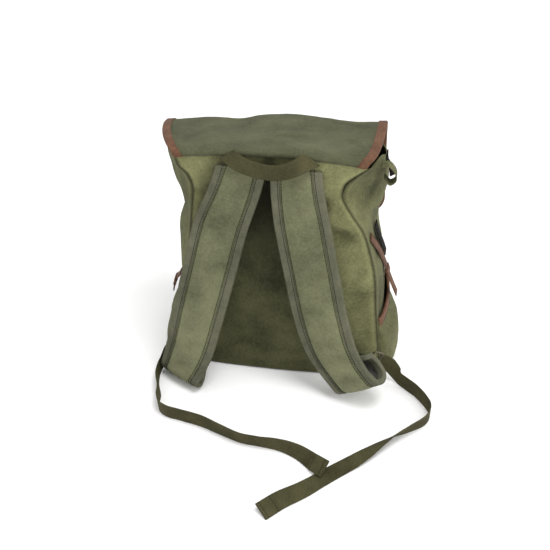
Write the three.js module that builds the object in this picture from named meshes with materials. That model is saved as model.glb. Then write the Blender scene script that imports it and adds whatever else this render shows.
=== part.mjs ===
// Canvas backpack standing on its base, carrying side towards -Y, in millimetres, +Z up.
// The origin is the middle of the base, on the surface that the backpack stands on.

import * as THREE from 'three';

// Driving sizes of the bag
const BODY_WIDTH = 336;
const BODY_DEPTH = 138;
const BODY_HEIGHT = 351;
const HALF_WIDTH = BODY_WIDTH / 2;
const SEAM_RISE = 9;
const SEAM_SPAN = 0.83;
const MOUTH_DROP = 18;
const MOUTH_LIFT = 9;
const CANVAS = 1.6;
const SEW_GAP = 0.3;

// Driving sizes of the flap
const FLAP_THICKNESS = 2.4;
const FLAP_FALL = 150;
const FLAP_CORNER_RADIUS = 34;
const LEATHER = 1.2;
const FLAP_BINDING_WIDTH = 10;

// Driving sizes of the shoulder straps
const STRAP_WIDTH = 75;
const STRAP_NECK = 4;
const STRAP_NECK_LENGTH = 90;
const STRAP_TIP_WIDTH = 46;
const STRAP_TAPER = 48;
const STRAP_PADDING = 6;
const STRAP_EDGE = 3;
const STRAP_LINING = 1;
const TAPE = 1.1;
const TAPE_WIDTH = 10;

// Driving sizes of the webbing and the hardware
const WEBBING_WIDTH = 25;
const WEBBING = 1.5;
const BUCKLE_WIDTH = 33;
const BUCKLE_LENGTH = 18;
const BUCKLE_THICKNESS = 3;

// Driving sizes of the side pockets and their fastenings. The slack is the share of the belly that
// is left at the mouth; bulge and collar are the shares of the height between which it draws in.
const POCKET_MOUTH_HEIGHT = 103;
const POCKET_MOUTH_RISE = 14;
const POCKET_MOUTH_SLACK = 0.6;
const POCKET_BULGE = 0.6;
const POCKET_COLLAR = 0.87;
const POCKET_BELLY = { left: 13, right: 17 };
const POCKET_STAND_OFF = LEATHER + 3 * SEW_GAP;
const POCKET_START = 0.03;
const POCKET_END = 0.96;
const MOUTH_BINDING_WIDTH = 10;
const THIN_STRAP_WIDTH = 14;
const HOLD_STRAP_WIDTH = 15;
const KEEPER_WIDTH = 12;
const LOOP_WIDTH = 22;
const THONG_WIDTH = 12;

// Colours and finish of each material
const MATERIALS = {
  canvas: { color: 0x767a5c, roughness: 0.95 },
  strapCanvas: { color: 0x82825f, roughness: 0.95 },
  lining: { color: 0x64615c, roughness: 0.9 },
  tape: { color: 0x87836f, roughness: 0.85 },
  webbing: { color: 0x55543c, roughness: 0.8 },
  leather: { color: 0x735448, roughness: 0.6 },
  darkLeather: { color: 0x2c211d, roughness: 0.6 },
  metal: { color: 0x6b6658, roughness: 0.45, metalness: 0.9 },
};

// Rows of a table as objects with named columns
function table(columns, rows) {
  const names = columns.split(' ');
  return rows.map((row) => Object.fromEntries(names.map((name, i) => [name, row[i]])));
}

// Sections of the bag from the base up. Height is a share of the body height, widths are shares
// of half the body width, and depths are shares of the body depth measured from the back panel.
const BODY_WIDTHS = table('height backLeft backRight frontLeft frontRight sideLeft sideRight', [
  [0, 0.93, 0.94, 0.92, 0.92, 0.97, 0.98],
  [0.04, 0.97, 0.99, 0.97, 0.97, 1, 1.02],
  [0.15, 0.93, 0.97, 0.97, 0.97, 0.96, 1.01],
  [0.32, 0.86, 0.93, 0.95, 0.95, 0.92, 0.98],
  [0.52, 0.77, 0.89, 0.92, 0.905, 0.935, 0.95],
  [0.64, 0.73, 0.83, 0.89, 0.86, 0.925, 0.88],
  [0.72, 0.715, 0.77, 0.88, 0.86, 0.9, 0.855],
  [0.8, 0.695, 0.655, 0.88, 0.85, 0.92, 0.895],
  [0.865, 0.685, 0.58, 0.88, 0.85, 0.96, 0.91],
  [0.92, 0.72, 0.6, 0.88, 0.85, 0.985, 0.915],
  [0.96, 0.79, 0.68, 0.88, 0.85, 0.99, 0.91],
  [1, 0.82, 0.78, 0.88, 0.85, 0.98, 0.9],
]);
const BODY_DEPTHS = table('height back front backCrown frontCrown', [
  [0, 0, 0.95, 0.07, 0.02],
  [0.04, 0, 1, 0.065, 0.05],
  [0.15, 0, 1, 0.045, 0.08],
  [0.32, 0, 1, 0.04, 0.11],
  [0.52, 0, 1, 0.03, 0.1],
  [0.64, 0, 1, 0.02, 0.08],
  [0.72, 0, 1, 0.01, 0.06],
  [0.8, 0, 1, 0, 0.05],
  [0.865, 0.01, 1, 0, 0.05],
  [0.92, 0.01, 1, 0, 0.04],
  [0.96, 0, 1, 0, 0.04],
  [1, 0, 1, 0, 0.03],
]);

// Stations of the flap from the back seam over the top and down the front. Depth is a share of
// the body depth from the back panel, lift a share of it above the body, fall a share of the
// flap's fall below it, and left and right are shares of half the body width.
const FLAP_STATIONS = table('along depth lift fall left right tilt seam wave', [
  [0, 0, 0.0035, 0, 0.8, 0.74, 0, 1, 0],
  [0.03, 0.01, 0.045, 0, 0.83, 0.765, 0, 0.9, 0],
  [0.1, 0.12, 0.09, 0, 0.895, 0.815, 0.01, 0.5, 0.1],
  [0.2, 0.35, 0.11, 0, 0.975, 0.845, 0.03, 0.2, 0.3],
  [0.3, 0.62, 0.115, 0, 1.04, 0.86, 0.06, 0.1, 0.6],
  [0.4, 0.88, 0.12, 0, 1.08, 0.868, 0.1, 0.1, 1],
  [0.46, 1.04, 0.09, 0.02, 1.085, 0.868, 0.1, 0.1, 1],
  [0.52, 1.12, 0.02, 0.14, 1.07, 0.868, 0.08, 0.1, 0.6],
  [0.74, 1.16, 0, 0.55, 1.02, 0.88, 0.04, 0, 0.2],
  [1, 1.14, 0, 1, 0.96, 0.9, 0.02, 0, 0],
]);

// Crest of the flap from its left edge to its right, with the lift as a share of the body depth
const FLAP_CREST = table('across lift', [
  [0, -0.04],
  [0.1, -0.02],
  [0.22, 0],
  [0.345, -0.018],
  [0.43, 0.022],
  [0.52, 0.04],
  [0.62, 0.04],
  [0.73, 0.01],
  [0.88, -0.022],
  [1, -0.013],
]);

// Centre lines of the straps. Across is a share of half the body width, out a share of the body
// depth from the middle of the bag, up a share of the body height; turn and rise are the angles in
// degrees that the strap's width makes with the back panel and with the floor.
const STRAP_LINES = {
  left: [
    { across: -0.253, out: -0.534, up: 0.985, turn: 0, rise: 0 },
    { across: -0.313, out: -0.592, up: 0.885, turn: 0, rise: 0 },
    { across: -0.42, out: -0.66, up: 0.745, turn: -2, rise: 0 },
    { across: -0.52, out: -0.735, up: 0.548, turn: -4, rise: 0 },
    { across: -0.627, out: -0.82, up: 0.337, turn: -9, rise: 0 },
    { across: -0.712, out: -0.885, up: 0.17, turn: -19, rise: 0 },
    { across: -0.775, out: -0.94, up: 0.085, turn: -29, rise: 1 },
    { across: -0.805, out: -0.955, up: 0.05, turn: -34, rise: 2 },
    { across: -0.768, out: -0.875, up: 0.0205, turn: -35, rise: 2 },
    { across: -0.722, out: -0.79, up: 0.055, turn: -35, rise: 2 },
    { across: -0.712, out: -0.76, up: 0.105, turn: -34, rise: 0 },
    { across: -0.708, out: -0.74, up: 0.155, turn: -32, rise: 0 },
  ],
  right: [
    { across: 0.192, out: -0.534, up: 0.985, turn: 0, rise: 0 },
    { across: 0.218, out: -0.592, up: 0.89, turn: 0, rise: 0 },
    { across: 0.275, out: -0.66, up: 0.75, turn: 0, rise: 0 },
    { across: 0.356, out: -0.74, up: 0.58, turn: 0, rise: 0 },
    { across: 0.455, out: -0.83, up: 0.385, turn: -3, rise: 3 },
    { across: 0.555, out: -0.89, up: 0.245, turn: -9, rise: 10 },
    { across: 0.66, out: -0.955, up: 0.168, turn: -17, rise: 21 },
    { across: 0.7525, out: -1.035, up: 0.134, turn: -22, rise: 32 },
    { across: 0.812, out: -1.025, up: 0.099, turn: -22, rise: 36 },
    { across: 0.8643, out: -0.937, up: 0.085, turn: -22, rise: 36 },
    { across: 0.8783, out: -0.8282, up: 0.1, turn: -22, rise: 34 },
    { across: 0.8463, out: -0.7643, up: 0.1366, turn: -22, rise: 34 },
    { across: 0.8072, out: -0.7931, up: 0.1787, turn: -22, rise: 34 },
    { across: 0.801, out: -0.9, up: 0.2092, turn: -22, rise: 34 },
  ],
};

// Lines that the lower edges of the webbing tails take over the surface. Across and out are shares
// as above, rise a share of the webbing width, and lean the angle in degrees from upright.
const TAIL_LINES = {
  left: [
    { across: -0.865, out: -0.575, rise: 0.75, lean: 0 },
    { across: -0.91, out: -0.578, rise: 0.6, lean: 0 },
    { across: -0.965, out: -0.62, rise: 0.35, lean: 0 },
    { across: -1.005, out: -0.72, rise: 0.08, lean: -2 },
    { across: -1.015, out: -0.85, rise: 0, lean: -4 },
    { across: -0.99, out: -1.02, rise: 0, lean: -8 },
    { across: -0.925, out: -1.23, rise: 0, lean: -10 },
    { across: -0.912, out: -1.36, rise: 0, lean: -6 },
    { across: -0.87, out: -1.47, rise: 0, lean: -4 },
    { across: -0.79, out: -1.53, rise: 0, lean: -5 },
    { across: -0.692, out: -1.555, rise: 0, lean: -6 },
    { across: -0.468, out: -1.622, rise: 0, lean: -4 },
    { across: -0.275, out: -1.715, rise: 0, lean: -8 },
    { across: -0.1, out: -1.79, rise: 0, lean: -12 },
    { across: 0.07, out: -1.812, rise: 0, lean: -12 },
    { across: 0.22, out: -1.84, rise: 0, lean: -4 },
    { across: 0.37, out: -1.922, rise: 0, lean: 12 },
    { across: 0.523, out: -2.085, rise: 0.09, lean: 36 },
    { across: 0.604, out: -2.162, rise: 0.16, lean: 48 },
  ],
  right: [
    { across: 0.975, out: -0.563, rise: 0.95, lean: 0 },
    { across: 1.01, out: -0.552, rise: 0.86, lean: 0 },
    { across: 1.05, out: -0.546, rise: 0.66, lean: 0 },
    { across: 1.11, out: -0.565, rise: 0.3, lean: 0 },
    { across: 1.17, out: -0.62, rise: 0.06, lean: 0 },
    { across: 1.24, out: -0.69, rise: 0, lean: 0 },
    { across: 1.33, out: -0.795, rise: 0, lean: 0 },
    { across: 1.42, out: -0.955, rise: 0, lean: 0 },
    { across: 1.458, out: -1.08, rise: 0, lean: 0 },
    { across: 1.42, out: -1.23, rise: 0, lean: 6 },
    { across: 1.27, out: -1.38, rise: 0, lean: 20 },
    { across: 1.14, out: -1.475, rise: 0, lean: 36 },
    { across: 1.01, out: -1.59, rise: 0, lean: 56 },
    { across: 0.9, out: -1.7, rise: 0, lean: 74 },
    { across: 0.784, out: -1.829, rise: 0, lean: 86 },
    { across: 0.65, out: -1.98, rise: 0, lean: 90 },
    { across: 0.53, out: -2.13, rise: 0.03, lean: 91 },
    { across: 0.42, out: -2.275, rise: 0.17, lean: 100 },
    { across: 0.27, out: -2.45, rise: 0.36, lean: 111 },
    { across: 0.14, out: -2.63, rise: 0.42, lean: 115 },
  ],
};

// Webbing that holds each buckle to the back panel, in the same columns
const ANCHOR_LINES = {
  left: [
    { across: -0.655, out: -0.5425, rise: 0.7 },
    { across: -0.7, out: -0.548, rise: 0.72 },
    { across: -0.753, out: -0.566, rise: 0.75 },
  ],
  right: [
    { across: 0.74, out: -0.544, rise: 0.85 },
    { across: 0.79, out: -0.552, rise: 0.9 },
    { across: 0.845, out: -0.582, rise: 0.95 },
  ],
};

// Centre line of the carrying handle, in the same shares; tilt and lean turn its width from upright,
// away from the bag and along it
const HANDLE_LINE = [
  { across: -0.3734, out: -0.529, up: 1.0334, tilt: 0, lean: 54 },
  { across: -0.31, out: -0.5797, up: 1.02, tilt: -2, lean: 40 },
  { across: -0.2231, out: -0.6304, up: 1.008, tilt: -5, lean: 20 },
  { across: -0.078, out: -0.6812, up: 0.999, tilt: -8, lean: 6 },
  { across: 0.0594, out: -0.7, up: 1.0, tilt: -10, lean: 0 },
  { across: 0.1543, out: -0.6812, up: 1.009, tilt: -8, lean: -8 },
  { across: 0.2366, out: -0.6377, up: 1.024, tilt: -5, lean: -24 },
  { across: 0.2862, out: -0.5797, up: 1.0317, tilt: -2, lean: -40 },
  { across: 0.3289, out: -0.529, up: 1.0316, tilt: 0, lean: -53 },
];

// Centre lines of the small straps on the sides, in the same shares
const POCKET_STRAP_LINES = {
  left: [
    { across: -0.952, out: -0.09, up: 0.4 },
    { across: -0.978, out: -0.05, up: 0.365 },
    { across: -1.014, out: 0.0, up: 0.33 },
    { across: -1.03, out: 0.02, up: 0.285 },
    { across: -1.04, out: 0.03, up: 0.23 },
  ],
  right: [
    { across: 0.829, out: -0.385, up: 0.683 },
    { across: 0.903, out: -0.246, up: 0.597 },
    { across: 0.964, out: -0.109, up: 0.4986 },
    { across: 1.022, out: -0.02, up: 0.401 },
    { across: 1.09, out: 0.06, up: 0.305 },
  ],
};
const HOLD_STRAP_LINE = [
  { across: 0.857, out: -0.16, up: 0.7, turn: 84 },
  { across: 0.887, out: -0.12, up: 0.645, turn: 84 },
  { across: 0.928, out: -0.07, up: 0.585, turn: 84 },
  { across: 0.958, out: -0.03, up: 0.535, turn: 84 },
];
const SIDE_LOOP_LINE = [
  { across: 0.878, out: -0.2, up: 0.972 },
  { across: 0.935, out: -0.2, up: 0.976 },
  { across: 0.99, out: -0.2, up: 0.945 },
  { across: 0.995, out: -0.2, up: 0.915 },
  { across: 0.95, out: -0.2, up: 0.898 },
  { across: 0.9, out: -0.2, up: 0.92 },
];
const THONG_LINE = [
  { across: 0.908, out: -0.01, up: 1.0, turn: 90 },
  { across: 0.913, out: -0.02, up: 0.965, turn: 84 },
  { across: 0.95, out: -0.06, up: 0.935, turn: 60 },
  { across: 0.965, out: -0.07, up: 0.905, turn: 50 },
];

const rad = THREE.MathUtils.degToRad;
const lerp = THREE.MathUtils.lerp;

// Smooth value of one column of a table at a position of its first column
function column(rows, key, name, at) {
  const last = rows.length - 1;
  let i = 0;
  while (i < last - 1 && at > rows[i + 1][key]) i += 1;
  const a = rows[i];
  const b = rows[i + 1];
  const before = rows[Math.max(i - 1, 0)];
  const after = rows[Math.min(i + 2, last)];
  const span = b[key] - a[key];
  const t = THREE.MathUtils.clamp((at - a[key]) / span, 0, 1);
  const slopeA = i > 0 ? (b[name] - before[name]) / (b[key] - before[key]) : (b[name] - a[name]) / span;
  const slopeB = i + 1 < last ? (after[name] - a[name]) / (after[key] - a[key]) : (b[name] - a[name]) / span;
  const t2 = t * t;
  const t3 = t2 * t;
  return (2 * t3 - 3 * t2 + 1) * a[name] + (t3 - 2 * t2 + t) * span * slopeA
    + (3 * t2 - 2 * t3) * b[name] + (t3 - t2) * span * slopeB;
}

// Volume with its sign, negative where the faces point inwards
function signedVolume(points, faces) {
  let total = 0;
  for (let i = 0; i < faces.length; i += 3) {
    const [a, b, c] = [points[faces[i]], points[faces[i + 1]], points[faces[i + 2]]];
    total += a.dot(new THREE.Vector3().crossVectors(b, c));
  }
  return total / 6;
}

// Closed solid between two facing grids: place(column share, row share, side) gives each point,
// and a looped one joins its last column to its first
function slab(name, material, columns, rows, place, looped = false) {
  const points = [];
  const faces = [];
  for (const side of [0, 1]) {
    for (let j = 0; j <= rows; j += 1) {
      for (let i = 0; i <= columns; i += 1) points.push(place(i / columns, j / rows, side));
    }
  }
  const at = (side, i, j) => (side * (rows + 1) + j) * (columns + 1) + (looped ? i % columns : i);
  const quad = (a, b, c, d) => faces.push(a, b, c, a, c, d);
  for (let j = 0; j < rows; j += 1) {
    for (let i = 0; i < columns; i += 1) {
      quad(at(0, i, j), at(0, i + 1, j), at(0, i + 1, j + 1), at(0, i, j + 1));
      quad(at(1, i, j), at(1, i, j + 1), at(1, i + 1, j + 1), at(1, i + 1, j));
    }
  }
  for (let i = 0; i < columns; i += 1) {
    quad(at(0, i, 0), at(1, i, 0), at(1, i + 1, 0), at(0, i + 1, 0));
    quad(at(0, i, rows), at(0, i + 1, rows), at(1, i + 1, rows), at(1, i, rows));
  }
  for (let j = 0; j < rows && !looped; j += 1) {
    quad(at(0, 0, j), at(0, 0, j + 1), at(1, 0, j + 1), at(1, 0, j));
    quad(at(0, columns, j), at(1, columns, j), at(1, columns, j + 1), at(0, columns, j + 1));
  }
  if (signedVolume(points, faces) < 0) faces.reverse();
  const geometry = new THREE.BufferGeometry().setFromPoints(points);
  geometry.setIndex(faces);
  geometry.computeVertexNormals();
  const mesh = new THREE.Mesh(geometry, new THREE.MeshStandardMaterial(MATERIALS[material]));
  mesh.name = name;
  return mesh;
}

// Normal of a surface of two parameters, by small steps
function normalOf(surface, u, v, step = 0.004) {
  const alongU = surface(u + step, v).sub(surface(u - step, v));
  const alongV = surface(u, v + step).sub(surface(u, v - step));
  return alongU.cross(alongV).normalize();
}

// One section of the bag, with its walls moved inwards by an inset
function section(height, inset) {
  const half = (name) => column(BODY_WIDTHS, 'height', name, height) * HALF_WIDTH - inset;
  const depth = (name) => column(BODY_DEPTHS, 'height', name, height);
  return {
    backLeft: -half('backLeft'),
    backRight: half('backRight'),
    frontLeft: -half('frontLeft'),
    frontRight: half('frontRight'),
    sideLeft: -half('sideLeft'),
    sideRight: half('sideRight'),
    back: (depth('back') - 0.5) * BODY_DEPTH + inset,
    front: (depth('front') - 0.5) * BODY_DEPTH - inset,
    backCrown: depth('backCrown') * BODY_DEPTH,
    frontCrown: depth('frontCrown') * BODY_DEPTH,
  };
}

// Value of a bowed line through two ends and a middle
function bowed(start, middle, end, u) {
  return lerp(start, end, u) + 4 * u * (1 - u) * (middle - (start + end) / 2);
}

// Crest of the seam under the flap
function seamRise(x) {
  return SEAM_RISE * Math.max(1 - (x / (HALF_WIDTH * SEAM_SPAN)) ** 2, 0);
}

// Height of a wall point: the mouth drops towards the front and rises under the back of the flap
function wallHeight(v, y) {
  const share = y / BODY_DEPTH + 0.5;
  const lifted = Math.sin(Math.PI * THREE.MathUtils.clamp(share / 0.6, 0, 1)) ** 2;
  return v * (BODY_HEIGHT - MOUTH_DROP * share) + v ** 6 * MOUTH_LIFT * lifted;
}

// Points of the four walls: u runs along the wall, v up it
const WALLS = {
  back_panel(u, v, inset) {
    const s = section(v, inset);
    const y = s.back - s.backCrown * 4 * u * (1 - u);
    const x = lerp(s.backLeft, s.backRight, u);
    return new THREE.Vector3(x, y, wallHeight(v, s.back) + v ** 3 * seamRise(x));
  },
  side_panel_right(u, v, inset) {
    const s = section(v, inset);
    const y = lerp(s.back, s.front, u);
    return new THREE.Vector3(bowed(s.backRight, s.sideRight, s.frontRight, u), y, wallHeight(v, y));
  },
  front_panel(u, v, inset) {
    const s = section(v, inset);
    const y = s.front + s.frontCrown * 4 * u * (1 - u);
    return new THREE.Vector3(lerp(s.frontRight, s.frontLeft, u), y, wallHeight(v, s.front));
  },
  side_panel_left(u, v, inset) {
    const s = section(v, inset);
    const y = lerp(s.front, s.back, u);
    return new THREE.Vector3(bowed(s.frontLeft, s.sideLeft, s.backLeft, u), y, wallHeight(v, y));
  },
};

const WALL_ROWS = 16;

// Walls of the bag, mitred at the corner seams with a sewing gap
function makeWall(name, columns) {
  const bottom = (CANVAS + SEW_GAP) / BODY_HEIGHT;
  const width = name.startsWith('side') ? BODY_DEPTH : BODY_WIDTH;
  const margin = 2 * SEW_GAP / width;
  return slab(name, 'canvas', columns, WALL_ROWS, (u, v, side) => (
    WALLS[name](lerp(margin, 1 - margin, u), lerp(bottom, 1, v), side * CANVAS)
  ));
}

function makeBottom() {
  return slab('bottom_panel', 'canvas', 8, 6, (u, v, side) => {
    const s = section(0, 0);
    const left = bowed(s.backLeft, s.sideLeft, s.frontLeft, v);
    const right = bowed(s.backRight, s.sideRight, s.frontRight, v);
    return new THREE.Vector3(lerp(left, right, u), lerp(s.back, s.front, v), side * CANVAS);
  });
}

// The flap, worked out on a flat sheet of a across and b along
const FLAP_LENGTH = BODY_DEPTH * 1.17 + FLAP_FALL;

function flapEdges(b) {
  const share = b / FLAP_LENGTH;
  const left = -column(FLAP_STATIONS, 'along', 'left', share) * HALF_WIDTH;
  const right = column(FLAP_STATIONS, 'along', 'right', share) * HALF_WIDTH;
  const past = Math.max(b - (FLAP_LENGTH - FLAP_CORNER_RADIUS), 0);
  const inset = FLAP_CORNER_RADIUS - Math.sqrt(Math.max(FLAP_CORNER_RADIUS ** 2 - past ** 2, 0));
  return { left, right, inset };
}

function flapSurface(a, b) {
  const share = b / FLAP_LENGTH;
  const get = (name) => column(FLAP_STATIONS, 'along', name, share);
  const edges = flapEdges(b);
  const u = (a - edges.left) / (edges.right - edges.left);
  const lift = get('lift') + get('tilt') * (u - 1) + get('wave') * column(FLAP_CREST, 'across', 'lift', u);
  const z = BODY_HEIGHT + lift * BODY_DEPTH - get('fall') * FLAP_FALL + get('seam') * seamRise(a);
  return new THREE.Vector3(a, (get('depth') - 0.5) * BODY_DEPTH, z);
}

function flapPoint(a, b, n) {
  const normal = normalOf(flapSurface, a, b, 0.5);
  return flapSurface(a, b).addScaledVector(normal, n);
}

function makeFlap() {
  return slab('flap', 'canvas', 12, 18, (u, v, side) => {
    const b = v * FLAP_LENGTH;
    const edges = flapEdges(b);
    const a = lerp(edges.left + edges.inset, edges.right - edges.inset, u);
    return flapPoint(a, b, side * FLAP_THICKNESS);
  });
}

// Outline of the flap's bound edge with the direction that points into the cloth
function flapOutline() {
  const outline = [];
  const steps = 15;
  const straight = FLAP_LENGTH - FLAP_CORNER_RADIUS;
  const corner = (side, angle) => {
    const edges = flapEdges(straight);
    const centre = side < 0 ? edges.left + FLAP_CORNER_RADIUS : edges.right - FLAP_CORNER_RADIUS;
    const inward = { a: -side * Math.cos(angle), b: -Math.sin(angle) };
    return {
      a: centre - inward.a * FLAP_CORNER_RADIUS,
      b: straight - inward.b * FLAP_CORNER_RADIUS,
      inward,
    };
  };
  for (let i = 0; i < steps; i += 1) {
    const b = (i / steps) * straight;
    outline.push({ a: flapEdges(b).left, b, inward: { a: 1, b: 0 } });
  }
  const turns = 4;
  for (let i = 0; i <= turns; i += 1) outline.push(corner(-1, (i / turns) * Math.PI / 2));
  for (let i = turns; i >= 0; i -= 1) outline.push(corner(1, (i / turns) * Math.PI / 2));
  for (let i = steps - 1; i >= 0; i -= 1) {
    const b = (i / steps) * straight;
    outline.push({ a: flapEdges(b).right, b, inward: { a: -1, b: 0 } });
  }
  return outline;
}

// Binding that wraps an edge: the outline gives the way along it, point(a, b, n) the cloth's place
function wrapEdge(name, material, outline, point, width, wall, upper, lower, reach = 0) {
  const clear = SEW_GAP;
  const profile = [0, 1].map((side) => {
    const out = clear + (1 - side) * wall;
    const top = upper + out;
    const base = -lower - out;
    const edge = -out - reach;
    return [[width, top], [edge, top], [edge, base], [width, base]];
  });
  return slab(name, material, outline.length - 1, 3, (u, v, side) => {
    const station = outline[Math.round(u * (outline.length - 1))];
    const [inset, n] = profile[side][Math.round(v * 3)];
    return point(station.a + station.inward.a * inset, station.b + station.inward.b * inset, n);
  });
}

function makeFlapBinding() {
  const middle = FLAP_THICKNESS / 2;
  const point = (a, b, n) => flapPoint(a, Math.max(b, 0), n + middle);
  return wrapEdge(
    'flap_binding', 'leather', flapOutline(), point, FLAP_BINDING_WIDTH, LEATHER, middle, middle,
  );
}

// Smooth way through table rows, with the place and the frame at each distance along it; a square
// one keeps its width at right angles to the way
function bandWay(rows, placeOf, acrossOf, square = true) {
  const curve = new THREE.CatmullRomCurve3(rows.map(placeOf), false, 'centripetal');
  curve.arcLengthDivisions = 400;
  const length = curve.getLength();
  const frameAt = (s) => {
    const share = THREE.MathUtils.clamp(s / length, 0, 1);
    const t = curve.getUtoTmapping(share);
    const tangent = curve.getTangent(t);
    const row = t * (rows.length - 1);
    const i = Math.min(Math.floor(row), rows.length - 2);
    const across = acrossOf(rows[i], rows[i + 1], row - i, tangent);
    if (square) across.addScaledVector(tangent, -across.dot(tangent)).normalize();
    const origin = curve.getPoint(t).addScaledVector(tangent, s - share * length);
    const normal = new THREE.Vector3().crossVectors(tangent, across).normalize();
    return { origin, tangent, across, normal };
  };
  const point = (t, s, n) => {
    const frame = frameAt(s);
    return frame.origin.addScaledVector(frame.across, t).addScaledVector(frame.normal, n);
  };
  return { length, point, frameAt };
}

function bagPlace(row) {
  return new THREE.Vector3(row.across * HALF_WIDTH, row.out * BODY_DEPTH, row.up * BODY_HEIGHT);
}

// Shoulder straps
function strapWay(side) {
  return bandWay(STRAP_LINES[side], bagPlace, (a, b, t) => {
    const turn = rad(lerp(a.turn, b.turn, t));
    const rise = rad(lerp(a.rise, b.rise, t));
    const level = new THREE.Vector3(Math.cos(turn), Math.sin(turn), 0).multiplyScalar(Math.cos(rise));
    return level.add(new THREE.Vector3(0, 0, Math.sin(rise)));
  }, false);
}

function strapHalfWidth(s, length) {
  const tip = STRAP_TIP_WIDTH / 2;
  const full = STRAP_WIDTH / 2;
  const taper = THREE.MathUtils.smoothstep(s, length - STRAP_TAPER - tip, length - tip * 0.5);
  const neck = STRAP_NECK * (1 - THREE.MathUtils.smoothstep(s, 0, STRAP_NECK_LENGTH));
  const half = lerp(full, tip, taper) - neck;
  const past = Math.max(s - (length - tip), 0) / tip;
  return half * Math.sqrt(Math.max(1 - past ** 2, 0.01));
}

const RUN_ROWS = 12;
const CURL_ROWS = 19;
const CURL_LENGTH = 130;
const STRAP_ROWS = RUN_ROWS + CURL_ROWS;

// Distance along the strap of each row: wide apart down the back, close together round the curl
function strapRow(row, length) {
  if (row <= RUN_ROWS) return (row / RUN_ROWS) * (length - CURL_LENGTH);
  return length - 0.5 - (CURL_LENGTH - 0.5) * (1 - (row - RUN_ROWS) / CURL_ROWS) ** 1.2;
}

function strapOutline(length) {
  const tip = STRAP_TIP_WIDTH / 2;
  const station = (row, side) => {
    const s = strapRow(row, length);
    const half = strapHalfWidth(s, length);
    const past = Math.max(s - (length - tip), 0);
    const size = Math.hypot(half, past);
    return { a: side * half, b: s, inward: { a: -side * half / size, b: -past / size } };
  };
  const outline = [];
  for (let row = 0; row <= STRAP_ROWS; row += 1) outline.push(station(row, -1));
  for (let row = STRAP_ROWS; row >= 0; row -= 1) outline.push(station(row, 1));
  return outline;
}

// Places across the strap, as shares of its half width: edges, feet and shoulders of the padding
function padShare(column, half) {
  const foot = Math.max(1 - (TAPE_WIDTH + SEW_GAP) / half, 0.4);
  const shoulder = Math.max(1 - (TAPE_WIDTH + 5) / half, 0.2);
  return [-1, -foot, -shoulder, shoulder, foot, 1][column];
}

function padRise(s, length) {
  const sewn = THREE.MathUtils.smoothstep(s, 8, 34);
  const tip = THREE.MathUtils.smoothstep(length - s, TAPE_WIDTH + 1, TAPE_WIDTH + 14);
  return sewn * tip * (STRAP_PADDING - STRAP_EDGE / 2);
}

function makeStrap(side) {
  const way = strapWay(side);
  const place = (u, v) => {
    const s = strapRow(Math.round(v * STRAP_ROWS), way.length);
    const half = strapHalfWidth(s, way.length);
    const column = Math.round(u * 5);
    return { s, t: half * padShare(column, half), raised: column === 2 || column === 3 };
  };
  const pad = slab(`shoulder_strap_${side}`, 'strapCanvas', 5, STRAP_ROWS, (u, v, face) => {
    const { s, t, raised } = place(u, v);
    const top = STRAP_EDGE / 2 + (raised ? padRise(s, way.length) : 0);
    return way.point(t, s, face === 0 ? top : -STRAP_EDGE / 2);
  });
  const lining = slab(`strap_lining_${side}`, 'lining', 5, STRAP_ROWS, (u, v, face) => {
    const { s, t } = place(u, v);
    return way.point(t, s, -STRAP_EDGE / 2 - SEW_GAP - face * STRAP_LINING);
  });
  const upper = STRAP_EDGE / 2 + 3 * SEW_GAP;
  const lower = STRAP_EDGE / 2 + STRAP_LINING + 2.5 * SEW_GAP;
  const outline = strapOutline(way.length);
  const binding = wrapEdge(
    `strap_binding_${side}`, 'tape', outline, way.point, TAPE_WIDTH, TAPE, upper, lower, SEW_GAP,
  );
  return [pad, lining, binding];
}

// Webbing tail that stands on its lower edge and lies down as its lean grows
function tailWay(side) {
  const place = (row) => new THREE.Vector3(
    row.across * HALF_WIDTH,
    row.out * BODY_DEPTH,
    row.rise * WEBBING_WIDTH + 0.2,
  );
  return bandWay(TAIL_LINES[side], place, (a, b, t, tangent) => {
    const lean = rad(lerp(a.lean, b.lean, t));
    const level = new THREE.Vector3(-tangent.y, tangent.x, 0).normalize();
    return level.multiplyScalar(Math.sin(lean)).add(new THREE.Vector3(0, 0, Math.cos(lean)));
  });
}

function makeTail(side) {
  const way = tailWay(side);
  return slab(`webbing_tail_${side}`, 'webbing', 1, 42, (u, v, face) => {
    const s = v * way.length;
    const frame = way.frameAt(s);
    const flat = Math.max(frame.normal.z, -frame.normal.z);
    const n = (face - (frame.normal.z < 0 ? 1 : 0) * flat - 0.5 * (1 - flat)) * WEBBING;
    return way.point(u * WEBBING_WIDTH, s, n);
  });
}

// Carrying handle
function makeHandle() {
  const way = bandWay(HANDLE_LINE, bagPlace, (a, b, t) => {
    const tilt = rad(lerp(a.tilt, b.tilt, t));
    const lean = rad(lerp(a.lean, b.lean, t));
    const upright = new THREE.Vector3(0, Math.sin(tilt), Math.cos(tilt)).multiplyScalar(Math.cos(lean));
    return upright.add(new THREE.Vector3(Math.sin(lean), 0, 0));
  }, false);
  return slab('handle', 'webbing', 2, 24, (u, v, face) => (
    way.point((u - 0.5) * WEBBING_WIDTH, v * way.length, (face - 0.5) * WEBBING * 1.4)
  ));
}

// Side pockets: sheets that stand off the side walls, open at a mouth that rises to the front
const SIDES = { left: -1, right: 1 };

function pocketMouth(u) {
  return (POCKET_MOUTH_HEIGHT + POCKET_MOUTH_RISE * u) / BODY_HEIGHT;
}

function sideWall(side, u, v) {
  return side === 'right' ? WALLS.side_panel_right(u, v, 0) : WALLS.side_panel_left(1 - u, v, 0);
}

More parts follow.
